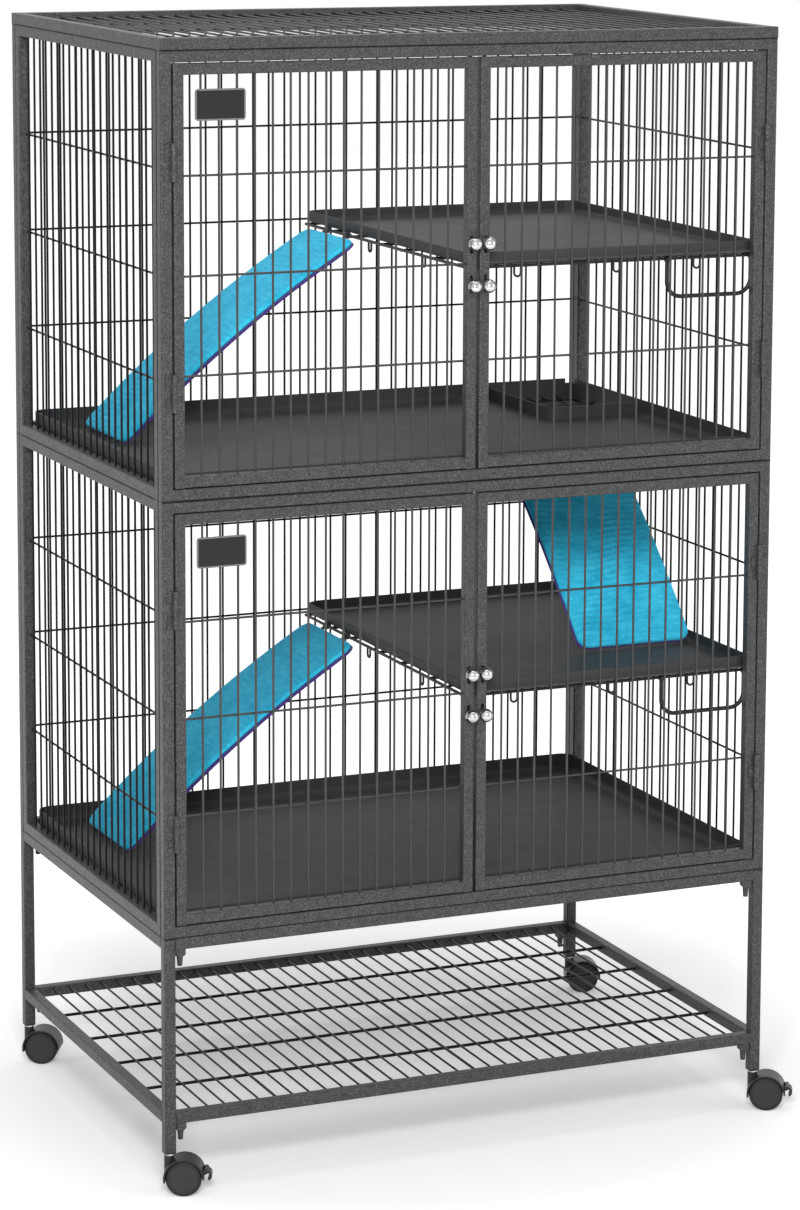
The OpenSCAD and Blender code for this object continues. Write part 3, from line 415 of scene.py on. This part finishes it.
def moulded_plastic(name, tint, grain, rough, depth=0.00012, dust=0.15):
    """Moulded plastic with its pebble, dust and an uneven gloss. Returns the material, its nodes, its shader
    and its clean colour, for a material that mixes it on."""
    material, n, shader = new_material(name, tint)
    place = n.object_coords()
    skin = place_group(n, "Moulded Plastic", moulded, Place=place, Grain=grain)
    pale = tuple(min(1.0, c * 1.35 + 0.004) for c in tint)
    base = n.mix(skin["Shade"], tuple(tint), pale)
    dusted(n, shader, place, base, dust)
    n.feed(shader.inputs["Roughness"], n.plus(rough - 0.06, n.times(skin["Shade"], 0.14)))
    set_sockets(shader, Specular_IOR_Level=0.28)
    bumped(n, shader, skin["Height"], depth, strength=0.7)
    return material, n, shader, base


def joint_box(node, axes):
    """The node's box, let out far on the axes that have no joint."""
    far = 9.0
    low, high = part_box(node)
    low = tuple(v if axis in axes else v - far for v, axis in zip(low, "xyz"))
    return low, tuple(v if axis in axes else v + far for v, axis in zip(high, "xyz"))


def inner_box(node, x, y, z, x_low=0.0, x_high=0.0):
    """The node's box drawn in by these widths; a negative width lets it out."""
    low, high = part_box(node)
    return (low.x + x + x_low, low.y + y, low.z + z), (high.x - x - x_high, high.y - y, high.z - z)


class CAGE_OT_paint_tubes(bpy.types.Operator):
    """Paint the posts, rails, frames without wires, clips and hinges"""

    bl_idname = "cage.paint_tubes"
    bl_label = "Paint Tubes"

    def execute(self, context):
        finish = context.scene.cage_finish
        hinges = [f"{s}_hinges" for s in STOREYS]
        dress(painted("Frame Paint", finish), "stand_rails", "rail_clips", *hinges)
        # The joints box of each stand post and front frame gives it painted shade where it meets its
        # neighbours.
        for name in [f"stand_post_{c}" for c in CORNERS] + [f"{s}_front_frame" for s in STOREYS]:
            dress(painted(f"Paint {name}", finish, joints=joint_box(name, "z")), name)
        return {"FINISHED"}


class CAGE_OT_paint_panels(bpy.types.Operator):
    """Paint the panels, doors, lid and stand shelf, with wires inside their tubes darkened as painted shade,
    the door wires least
    """

    bl_idname = "cage.paint_panels"
    bl_label = "Paint Panels"
    door_tube: length("Door tube", "Side of the door tube", 0.015, 0.01, 0.02)
    barrel_over: length("Barrel overhang", "Width by which a hinge barrel passes the door", 0.005, 0.0, 0.01)

    def execute(self, context):
        finish = context.scene.cage_finish
        past = -0.1
        for node in ("lid", "stand_shelf"):
            dress(painted(f"Paint {node}", finish, inner_box(node, TUBE, TUBE, past)), node)
        for s in STOREYS:
            back = f"{s}_back_panel"
            wires = inner_box(back, TUBE, past, TUBE)
            dress(painted(f"Paint {back}", finish, wires, joint_box(back, "z")), back)
            for side in SIDES:
                panel, door = f"{s}_{side}_panel", f"{s}_{side}_door"
                wires = inner_box(panel, past, TUBE, TUBE)
                dress(painted(f"Paint {panel}", finish, wires, joint_box(panel, "yz")), panel)
                hinge = {"x_low" if side == "left" else "x_high": self.barrel_over}
                wires = inner_box(door, self.door_tube, past, self.door_tube, **hinge)
                dress(painted(f"Paint {door}", finish, wires, tint=finish.door_wire), door)
        return {"FINISHED"}


class CAGE_OT_coat_wires(bpy.types.Operator):
    """Coat the floor grids, shelf frames and braces in the near-black wire coat, a painted shade"""

    bl_idname = "cage.coat_wires"
    bl_label = "Coat Wires"

    def execute(self, context):
        finish = context.scene.cage_finish
        # The near-black wire coat is painted shade.
        material, *_ = moulded_plastic("Wire Coat", finish.wire, grain=0.0024, rough=0.42, depth=0.0001)
        names = [f"{s}_{part}" for s in STOREYS for part in ("floor_grid", "shelf_frame")]
        dress(material, *names, "shelf_braces")
        return {"FINISHED"}


class CAGE_OT_mould_pans(bpy.types.Operator):
    """Give the pans their moulded plastic, and the shelf trays their rolled lips"""

    bl_idname = "cage.mould_pans"
    bl_label = "Mould Pans"
    wall: length("Tray wall", "Thickness of a tray's wall", 0.0026, 0.001, 0.005)
    cove: length("Tray cove", "Inner radius at a tray's foot", 0.006, 0.001, 0.01)
    corner: length("Tray corner", "Corner radius of a tray", 0.022, 0.005, 0.05)
    lean: length("Tray lean", "Width by which a tray's free side passes its wire", 0.0075, 0.0, 0.01)

    def execute(self, context):
        finish = context.scene.cage_finish
        material, *_ = moulded_plastic(
            "Pan Plastic", finish.pan, finish.pebble, rough=0.56, depth=0.00018, dust=0.10
        )
        dress(material, *[f"{s}_floor_pan" for s in STOREYS])
        for s in STOREYS:
            self.make_tray(s, material)
        return {"FINISHED"}

    def make_tray(self, storey, material):
        """Rings of a rounded rectangle: the foot, the outer wall, a half-round lip, the inner wall, its cove
        and the floor, closed at both middles. On the left side the rings over the foot shift outwards."""
        low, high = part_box(f"{storey}_shelf_tray")
        middle, half = (low + high) / 2, (high - low) / 2
        lip, cove, foot = self.wall / 2, self.cove, 0.0034
        floor = low.z + 0.002
        under, inner, last = 0.012, 0.03, half.x - 0.001
        over = np.linspace(0, np.pi, 9)
        down = np.linspace(np.pi / 2, 0, 9)
        up = down[::-1]
        inset = [last, under, *(foot - foot * np.cos(down)), *(lip - lip * np.cos(over))]
        inset += [*(self.wall + cove - cove * np.cos(up)), inner, last]
        rise = [low.z, low.z, *(low.z + foot - foot * np.sin(down)), *(high.z - lip + lip * np.sin(over))]
        rise += [*(floor + cove - cove * np.sin(up)), floor, floor]
        inset, rise = np.array(inset)[:, None], np.array(rise)[:, None]
        count = 192
        around = (np.linspace(0, 2 * np.pi, count, endpoint=False) + np.pi / count)[None, :]
        x, y = rounded_outline(around, half.x, half.y, inset, self.corner, least=0.0008)
        x = x - self.lean * self.leaning(x + half.x, rise - low.z)
        rings = np.stack([middle.x + x, middle.y + y, rise + 0 * x], axis=-1)
        piece = closed_loft(f"{storey}_lipped_tray", shut(rings, 0, middle.x), material)
        stand_in(piece, f"{storey}_shelf_tray", "cage")

    def leaning(self, x, z):
        """The share of the lean at x from the free side and z over the foot: a smooth step, fading inwards."""
        full, fade, foot, rise = 0.006, 0.03, 0.0004, 0.003
        near = np.clip(1 - (x - full) / fade, 0, 1) ** 2
        step = np.clip((z - foot) / rise, 0, 1)
        return near * step * step * (3 - 2 * step)


class CAGE_OT_polish_bolts(bpy.types.Operator):
    """Give the door bolts and their knobs a chrome finish"""

    bl_idname = "cage.polish_bolts"
    bl_label = "Polish Bolts"

    def execute(self, context):
        material, n, shader = new_material("Chrome", (0.8, 0.8, 0.8))
        smear = n.noise(n.object_coords(), 160.0, 4.0)
        mark = n.ramp(smear, 0.45, 0.8)
        n.feed(shader.inputs["Base Color"], n.mix(mark, (0.52, 0.52, 0.53), (0.42, 0.42, 0.43)))
        n.feed(shader.inputs["Roughness"], n.plus(0.10, n.times(mark, 0.10)))
        set_sockets(shader, Metallic=1.0)
        bumped(n, shader, smear, depth=0.00002, strength=0.4)
        for way in ("top", "bottom"):
            dress(material, *[f"{s}_{side}_{way}_bolt" for s in STOREYS for side in SIDES])
        return {"FINISHED"}


class CAGE_OT_finish_casters(bpy.types.Operator):
    """Give the caster hoods, collars, wheels and brake levers their plastic"""

    bl_idname = "cage.finish_casters"
    bl_label = "Finish Casters"
    collar_z: length("Collar height", "Height above which a caster is its pale collar", 0.0542, 0.04, 0.08)
    tread: length("Tread radius", "Radius of a wheel outside which it is tread", 0.0202, 0.01, 0.03)

    def execute(self, context):
        finish = context.scene.cage_finish
        skin = {"grain": 0.0011, "depth": 0.00006}
        material, n, shader, base = moulded_plastic("Caster Plastic", finish.caster, rough=0.34, **skin)
        collar = n.math("GREATER_THAN", n.split(n.object_coords())["Z"], self.collar_z)
        n.feed(shader.inputs["Base Color"], n.mix(collar, base, tuple(finish.collar)))
        dress(material, *[f"caster_{c}" for c in CORNERS])
        lever, *_ = moulded_plastic("Lever Plastic", finish.caster, rough=0.32, **skin)
        dress(lever, "brake_lever_left", "brake_lever_right")
        for corner in CORNERS:
            self.finish_wheels(corner, finish)
        return {"FINISHED"}

    def finish_wheels(self, corner, finish):
        """The tread is duller and darker than a wheel's dished face, told by the distance from the axle."""
        material, n, shader, base = moulded_plastic(
            f"Wheel Plastic {corner}", finish.wheel, grain=0.0011, rough=0.30, depth=0.00005
        )
        spin = JOINTS[f"wheels_{corner}_spin"]
        axis = tuple(Vector(spin["axis"]).normalized())
        away = n.vector("SUBTRACT", n.object_coords(), tuple(spin["pos_m"]))
        reach = n.size(n.vector("CROSS_PRODUCT", away, axis))
        tread = n.math("GREATER_THAN", reach, self.tread)
        n.feed(shader.inputs["Base Color"], n.mix(tread, base, tuple(c * 0.55 for c in finish.wheel)))
        n.feed(shader.inputs["Roughness"], n.plus(0.26, n.times(tread, 0.3)))
        dress(material, f"wheels_{corner}")


# ---------------------------------------------------------------- surfaces


def rounded_outline(turn, half_a, half_b, inset, corner, least):
    """A rounded rectangle drawn in by inset: corner circles, at least this wide, pushed out to the sides."""
    c, s = np.cos(turn), np.sin(turn)
    r = np.maximum(corner - inset, least)
    return np.sign(c) * (half_a - inset - r) + r * c, np.sign(s) * (half_b - inset - r) + r * s


def shut(rings, axis, middle):
    """The rings with the first and last repeated, flattened to a seam at the middle of the axis."""
    flat = rings[[0, -1]].copy()
    flat[:, :, axis] = middle
    return np.concatenate([flat[:1], rings, flat[1:]])


def closed_loft(name, points, material, smooth=True, lay=None):
    """A mesh from a grid of closed rings: points[i, j] is point j of ring i. The first and last ring are flat
    seams, merged shut. lay holds each point's place on the flat cloth, for the pile that follows it."""
    rings, around = points.shape[:2]
    i, j = np.meshgrid(np.arange(rings - 1), np.arange(around), indexing="ij")
    k = (j + 1) % around
    quads = np.stack([i * around + j, i * around + k, (i + 1) * around + k, (i + 1) * around + j], axis=-1)
    mesh = bpy.data.meshes.new(name)
    mesh.from_pydata(points.reshape(-1, 3), [], quads.reshape(-1, 4))
    mesh.polygons.foreach_set("use_smooth", np.full(len(mesh.polygons), smooth))
    mesh.materials.append(material)
    if lay is not None:
        attribute = mesh.attributes.new("lay", "FLOAT_VECTOR", "POINT")
        attribute.data.foreach_set("vector", lay.astype(np.float32).ravel())
    piece = bpy.data.objects.new(name, mesh)
    bpy.context.scene.collection.objects.link(piece)
    close_seams(mesh)
    return piece


def close_seams(mesh):
    """Merges doubles and turns all faces outwards."""
    work = bmesh.new()
    work.from_mesh(mesh)
    bmesh.ops.remove_doubles(work, verts=work.verts, dist=1e-6)
    bmesh.ops.recalc_face_normals(work, faces=work.faces)
    work.to_mesh(mesh)
    work.free()
    mesh.update()


class Ramp:
    """Where a ramp lies: its hinge wire, the direction it runs, its length and its fall."""

    def __init__(self, name, heading, size, start, fall, arch):
        hinge = Vector(JOINTS[f"{name}_ramp_lift"]["pos_m"])
        if name == "link":
            low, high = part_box("link_ramp_board")
            hinge.x = (low.x + high.x) / 2
        angle = math.asin(fall / size)
        heading = Vector(heading)
        self.body, self.size, self.start = f"{name}_ramp", size, start
        self.hinge = np.array(hinge)
        self.along = np.array(heading * math.cos(angle) - Vector((0, 0, math.sin(angle))))
        self.over = np.array(heading * math.sin(angle) + Vector((0, 0, math.cos(angle))))
        self.across = np.cross(self.over, self.along)
        self.radius = (size * size / 4 + arch * arch) / (2 * arch)
        self.arch = arch

    def put(self, x, y, v):
        """The place of a point x along the chord, y across it and v over the arch, a circle through both of
        the chord's ends."""
        turn = np.arcsin((x - self.size / 2) / self.radius)
        along = self.size / 2 + (self.radius + v) * np.sin(turn)
        over = self.arch - self.radius + (self.radius + v) * np.cos(turn)
        parts = ((along, self.along), (y, self.across), (over, self.over))
        return self.hinge + sum(distance[..., None] * way for distance, way in parts)


def rounded_half(x, x0, x1, half, corner):
    """Half the width at x of a rectangle from x0 to x1 with rounded corners."""
    near = np.clip(corner - np.minimum(x - x0, x1 - x), 0, corner)
    return half - corner + np.sqrt(np.maximum(corner * corner - near * near, 0))


def cloth_waves(x, y):
    """Slow waves and close ripples across a cover, both around nought."""
    slow = sum(high * np.sin(x * along + y * across + phase) for high, along, across, phase in SLOW_WAVES)
    bent = x * 590 + 1.7 * np.sin(y * 52) + 2.1 * np.sin(x * 19 + y * 23)
    return slow + 2.0 * np.sin(bent) * (0.55 + 0.45 * np.sin(x * 23 + y * 41))


def cover_points(ramp, x0, x1, half, low, high, corner, edge, crown=0.0, seam=0.0, wrinkle=0.0, roll=0.0):
    """Rings across a ramp, and each point's place on the flat cloth. Each ring is a flattened superellipse
    from low to high over the arch; the rings narrow to the rounded corners and thin to nothing over the edge
    radius at both ends. A crown lifts the middle, a seam is a shallow groove beside the edge, a wrinkle is
    the size of the cloth's waves, and a roll thickens the long edges downwards, away from both ends."""
    ring_count, ring_points = 300, 128
    even = np.linspace(0, 1, ring_count)
    shares = 0.6 * even + 0.4 * (1 - np.cos(np.pi * even)) / 2
    x = (x0 + (x1 - x0) * shares)[:, None]
    turn = np.linspace(0, 2 * np.pi, ring_points, endpoint=False)[None, :]
    c, s = np.cos(turn), np.sin(turn)
    full = np.sqrt(1 - np.abs(c) ** (2 * half / edge))
    wide = rounded_half(x, x0, x1, half, corner)
    gap = np.clip(1 - np.minimum(x - x0, x1 - x) / edge, 0, 1)
    thin = np.sqrt(1 - gap * gap)
    y = c * wide
    middle = low + 0.35 * (high - low)
    top = np.where(s > 0, full, 0)
    v = middle + thin * np.where(s > 0, (high - middle) * full, (low - middle) * full)

    border, stitch_in, stitch_wide = 0.012, 0.0075, 0.0012
    inward = np.minimum(wide - np.abs(y), np.minimum(x - x0, x1 - x))
    flat = np.clip(inward / border, 0, 1) * top * thin
    v = v + flat * (crown * (1 - (y / half) ** 2) + wrinkle * cloth_waves(x, y))
    v = v - seam * top * np.exp(-(((inward - stitch_in) / stitch_wide) ** 2))
    roll_wide, head_fade, toe_fade, toe_bare = 0.004, 0.04, 0.03, 0.004
    away = np.clip((x - x0) / head_fade, 0, 1) * np.clip((x1 - x - toe_bare) / toe_fade, 0, 1)
    v = v - roll * away * np.where(s < 0, full, 0) * np.exp(-(((wide - np.abs(y)) / roll_wide) ** 2))
    x = x + 0 * y
    other_face = 0.2 * (s < 0)
    return ramp.put(x, y, v), np.stack([x, y, v + other_face], axis=-1)


def fleece_material(finish):
    """Brushed fleece with a soft sheen."""
    material, n, shader = new_material("Fleece", finish.fleece)
    fur = place_group(n, "Fleece Pile", pile, Place=n.attribute("lay")["Vector"], Grain=finish.pile)
    red, green, _ = finish.fleece
    deep = tuple(c * 0.66 for c in finish.fleece)
    pale = (red + 0.05, min(1.0, green * 1.1 + 0.03), 1.0)
    n.feed(shader.inputs["Base Color"], n.mix(fur["Tone"], deep, pale))
    n.feed(shader.inputs["Roughness"], n.minus(0.95, n.times(fur["Tone"], 0.1)))
    set_sockets(shader, Sheen_Weight=0.8, Sheen_Roughness=0.45, Sheen_Tint=(0.2, 0.68, 1.0, 1.0))
    set_sockets(shader, Specular_IOR_Level=0.12)
    bumped(n, shader, fur["Height"], depth=0.0005, strength=0.8)
    return material


def hem_material(finish):
    """Woven lining: two crossed waves make the weave."""
    material, n, shader = new_material("Hem", finish.hem)
    place = n.object_coords()
    waves = [
        n.add("ShaderNodeTexWave", Vector=place, Scale=420.0, Distortion=1.5, bands_direction=axis)
        for axis in "XY"
    ]
    weave = n.times(*[wave.outputs["Fac"] for wave in waves])
    n.feed(shader.inputs["Base Color"], n.mix(weave, tuple(c * 0.7 for c in finish.hem), tuple(finish.hem)))
    n.feed(shader.inputs["Roughness"], n.minus(0.9, n.times(weave, 0.15)))
    set_sockets(shader, Sheen_Weight=0.2)
    bumped(n, shader, weave, depth=0.0002, strength=0.7)
    return material


class CAGE_OT_cover_ramps(bpy.types.Operator):
    """Put the fleece covers and their hems on the three ramps"""

    bl_idname = "cage.cover_ramps"
    bl_label = "Cover Ramps"

    def execute(self, context):
        finish, shape = context.scene.cage_finish, context.scene.cage_shape
        fleece, hem = fleece_material(finish), hem_material(finish)
        board, *_ = moulded_plastic("Ramp Board", finish.board, grain=0.0012, rough=0.55)
        side = (shape.side_len, shape.side_start, shape.side_fall, shape.arch)
        link = (shape.link_len, shape.link_start, shape.link_fall, shape.arch)
        ramps = [Ramp(s, TO_LEFT, *side) for s in STOREYS] + [Ramp("link", TO_FRONT, *link)]
        for ramp in ramps:
            self.make_cover(ramp, shape, fleece)
            self.make_hem(ramp, shape, hem)
            dress(board, f"{ramp.body}_board")
        return {"FINISHED"}

    def make_cover(self, ramp, shape, fleece):
        """The padded cover on top of the board."""
        short = 0.0006
        cover, cloth = cover_points(
            ramp, ramp.start, ramp.size - short, shape.cover_half, -shape.cover_low, shape.cover_high,
            shape.corner, edge=0.006, crown=0.0012, seam=0.0008, wrinkle=0.00035,
        )
        piece = closed_loft(f"{ramp.body}_cover", cover, fleece, lay=cloth)
        stand_in(piece, f"{ramp.body}_fleece", ramp.body)

    def make_hem(self, ramp, shape, hem):
        """The lining under the cover, whose edge shows as a hem."""
        short, under = 0.0004, 0.0001
        out = shape.hem_out
        top = -shape.cover_low - under
        strip, _ = cover_points(
            ramp, ramp.start - out, ramp.size - short, shape.cover_half + out, top - shape.hem_thick, top,
            shape.corner, edge=0.0012, roll=shape.hem_roll,
        )
        piece = closed_loft(f"{ramp.body}_hem", strip, hem)
        stand_in(piece, f"{ramp.body}_lining", ramp.body)


class CAGE_OT_dress_plates(bpy.types.Operator):
    """Give the blank plates on the left doors their raised rims"""

    bl_idname = "cage.dress_plates"
    bl_label = "Dress Plates"
    corner: length("Plate corner", "Corner radius of a plate", 0.0045, 0.0, 0.02)
    rim: length("Plate rim", "Width of a plate's rim", 0.0026, 0.0, 0.01)
    relief: length("Rim relief", "Depth of the field inside the rim", 0.0006, 0.0, 0.002)

    def execute(self, context):
        finish = context.scene.cage_finish
        material, n, shader, base = moulded_plastic(
            "Plate", finish.plate, grain=0.0012, rough=0.4, depth=0.00005
        )
        edge = n.attribute("rim")["Fac"]
        n.feed(shader.inputs["Base Color"], n.mix(edge, base, tuple(finish.plate_rim)))
        for s in STOREYS:
            self.make_plate(s, material)
        return {"FINISHED"}

    def make_plate(self, storey, material):
        """Rings of a rounded rectangle: the back, the outer edge, the rim's top and the sunk field, closed at
        both middles."""
        low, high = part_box(f"{storey}_plate")
        middle, half = (low + high) / 2, (high - low) / 2
        turn = np.linspace(0, 2 * np.pi, 96, endpoint=False)
        front, back, field = low.y, high.y, low.y + self.relief
        last = min(half.x, half.z) - 0.0006
        fine, round_over = 0.0003, 0.0005
        steps = [
            (last, back), (fine, back), (0.0, back - fine), (0.0, front + round_over), (round_over, front),
            (self.rim - round_over, front), (self.rim, field), (last, field),
        ]
        rings = []
        for inset, y in steps:
            x, z = rounded_outline(turn, half.x, half.z, inset, self.corner, least=0.0004)
            rings.append(np.stack([middle.x + x, np.full_like(x, y), middle.z + z], axis=-1))
        points = shut(np.stack(rings), 2, middle.z)
        piece = closed_loft(f"{storey}_blank_plate", points, material, smooth=False)
        self.mark_rim(piece.data, middle, half)
        stand_in(piece, f"{storey}_plate", f"{storey}_left_door")

    def mark_rim(self, mesh, middle, half):
        """Marks the points of the rim and the outer edge, for its own colour."""
        co = np.empty(len(mesh.vertices) * 3)
        mesh.vertices.foreach_get("co", co)
        x, y, z = (co.reshape(-1, 3) - np.array(middle)).T
        inward = np.minimum(half.x - np.abs(x), half.z - np.abs(z))
        value = ((inward < self.rim - 0.0001) & (y < half.y * 0.6)).astype(np.float32)
        mesh.attributes.new("rim", "FLOAT", "POINT").data.foreach_set("value", value)


# ---------------------------------------------------------------- stage


class CAGE_OT_build_stage(bpy.types.Operator):
    """Set the camera, the lights, the surrounding light and the white floor"""

    bl_idname = "cage.build_stage"
    bl_label = "Build Stage"

    def execute(self, context):
        stage = context.scene.cage_stage
        self.aim_camera(stage)
        self.hang_lamps(stage)
        self.light_world(stage)
        self.lay_floor(stage)
        context.scene.view_settings.view_transform = "Standard"
        return {"FINISHED"}

    def aim_camera(self, stage):
        """The view of the photograph: from the left of the doors, a little down, shifted for its framing."""
        data = bpy.data.cameras.new("Camera")
        data.sensor_width = SENSOR
        data.lens = stage.focal
        data.shift_x, data.shift_y = CAMERA_SHIFT
        data.clip_end = 100.0
        azimuth, down, roll = (math.radians(a) for a in CAMERA_ANGLES)
        level = math.cos(down)
        look = Vector((-math.sin(azimuth) * level, math.cos(azimuth) * level, -math.sin(down)))
        right = Vector((math.cos(azimuth), math.sin(azimuth), 0))
        up = right.cross(look)
        side = math.cos(roll) * right + math.sin(roll) * up
        top = math.cos(roll) * up - math.sin(roll) * right
        camera = bpy.data.objects.new("Camera", data)
        turned = Matrix((side, top, -look)).transposed().to_4x4()
        camera.matrix_world = Matrix.Translation(CAMERA_PLACE) @ turned
        bpy.context.scene.collection.objects.link(camera)
        bpy.context.scene.camera = camera

    def hang_lamps(self, stage):
        """A key light beside the camera, a light over the cage and a fill from the right."""
        for name, watts, size, place in (
            ("Key", stage.key, 1.3, (-1.9, -4.3, 2.9)),
            ("Top", stage.top, 2.4, (0.0, 0.3, 4.6)),
            ("Fill", stage.fill, 2.4, (3.4, -2.6, 1.8)),
        ):
            data = bpy.data.lights.new(name, "AREA")
            data.energy, data.size = watts, size
            lamp = bpy.data.objects.new(name, data)
            lamp.location = place
            lamp.rotation_euler = (Vector(LAMPS_AIM) - Vector(place)).to_track_quat("-Z", "Y").to_euler()
            bpy.context.scene.collection.objects.link(lamp)

    def light_world(self, stage):
        """Even light from all round, and white where the camera, a reflection or a clear body shows it."""
        world = bpy.data.worlds.new("Studio")
        world.use_nodes = True
        bpy.context.scene.world = world
        n = Nodes(world.node_tree)
        path = n.add("ShaderNodeLightPath").outputs
        seen = n.math("MAXIMUM", path["Is Camera Ray"], path["Is Transmission Ray"])
        seen = n.math("MAXIMUM", seen, path["Is Glossy Ray"])
        surface = world.node_tree.nodes["Background"]
        set_sockets(surface, Color=WHITE)
        n.feed(surface.inputs["Strength"], n.plus(stage.sky, n.times(seen, 1.0 - stage.sky)))

    def lay_floor(self, stage):
        """A white floor that keeps the shadows and is lifted to white for the camera, more so far away."""
        mesh = bpy.data.meshes.new("floor")
        r = FLOOR_REACH
        mesh.from_pydata([(-r, -r, 0), (r, -r, 0), (r, r, 0), (-r, r, 0)], [], [(0, 1, 2, 3)])
        floor = bpy.data.objects.new("floor", mesh)
        bpy.context.scene.collection.objects.link(floor)
        material, n, shader = new_material("Floor", (0.9, 0.9, 0.9))
        set_sockets(shader, Roughness=0.9, Specular_IOR_Level=0.1, Base_Color=(0.86, 0.86, 0.86, 1))
        set_sockets(shader, Emission_Color=WHITE)
        path = n.add("ShaderNodeLightPath").outputs
        seen = n.math("MAXIMUM", path["Is Camera Ray"], path["Is Glossy Ray"])
        away = n.ramp(n.size(n.object_coords()), *FLOOR_FADE)
        lift = n.plus(stage.floor, n.times(away, stage.far - stage.floor))
        n.feed(shader.inputs["Emission Strength"], n.times(seen, lift))
        mesh.materials.append(material)


OPERATORS = (
    CAGE_OT_build_stage,
    CAGE_OT_paint_tubes,
    CAGE_OT_paint_panels,
    CAGE_OT_coat_wires,
    CAGE_OT_mould_pans,
    CAGE_OT_polish_bolts,
    CAGE_OT_finish_casters,
    CAGE_OT_dress_plates,
    CAGE_OT_cover_ramps,
)


class CAGE_PT_dressing(bpy.types.Panel):
    """The cage's pieces and stage, in the order they are made"""

    bl_idname = "CAGE_PT_dressing"
    bl_label = "Wire Cage"
    bl_space_type = "VIEW_3D"
    bl_region_type = "UI"
    bl_category = "Cage"

    def draw(self, context):
        for operator in OPERATORS:
            self.layout.operator(operator.bl_idname)
        for group in (context.scene.cage_finish, context.scene.cage_shape, context.scene.cage_stage):
            box = self.layout.box()
            for name in group.__annotations__:
                box.prop(group, name)


CLASSES = (CageFinish, CageShape, CageStage, *OPERATORS, CAGE_PT_dressing)


def register():
    """Registers the classes and hangs the property groups on the scene."""
    for cls in CLASSES:
        bpy.utils.register_class(cls)
    bpy.types.Scene.cage_finish = PointerProperty(type=CageFinish)
    bpy.types.Scene.cage_shape = PointerProperty(type=CageShape)
    bpy.types.Scene.cage_stage = PointerProperty(type=CageStage)


def unregister():
    """Undoes register."""
    del bpy.types.Scene.cage_finish, bpy.types.Scene.cage_shape, bpy.types.Scene.cage_stage
    for cls in reversed(CLASSES):
        bpy.utils.unregister_class(cls)


def main():
    """Makes every piece in order."""
    register()
    for operator in OPERATORS:
        family, name = operator.bl_idname.split(".")
        getattr(getattr(bpy.ops, family), name)()
    bpy.context.view_layer.update()


if __name__ == "__main__":
    main()
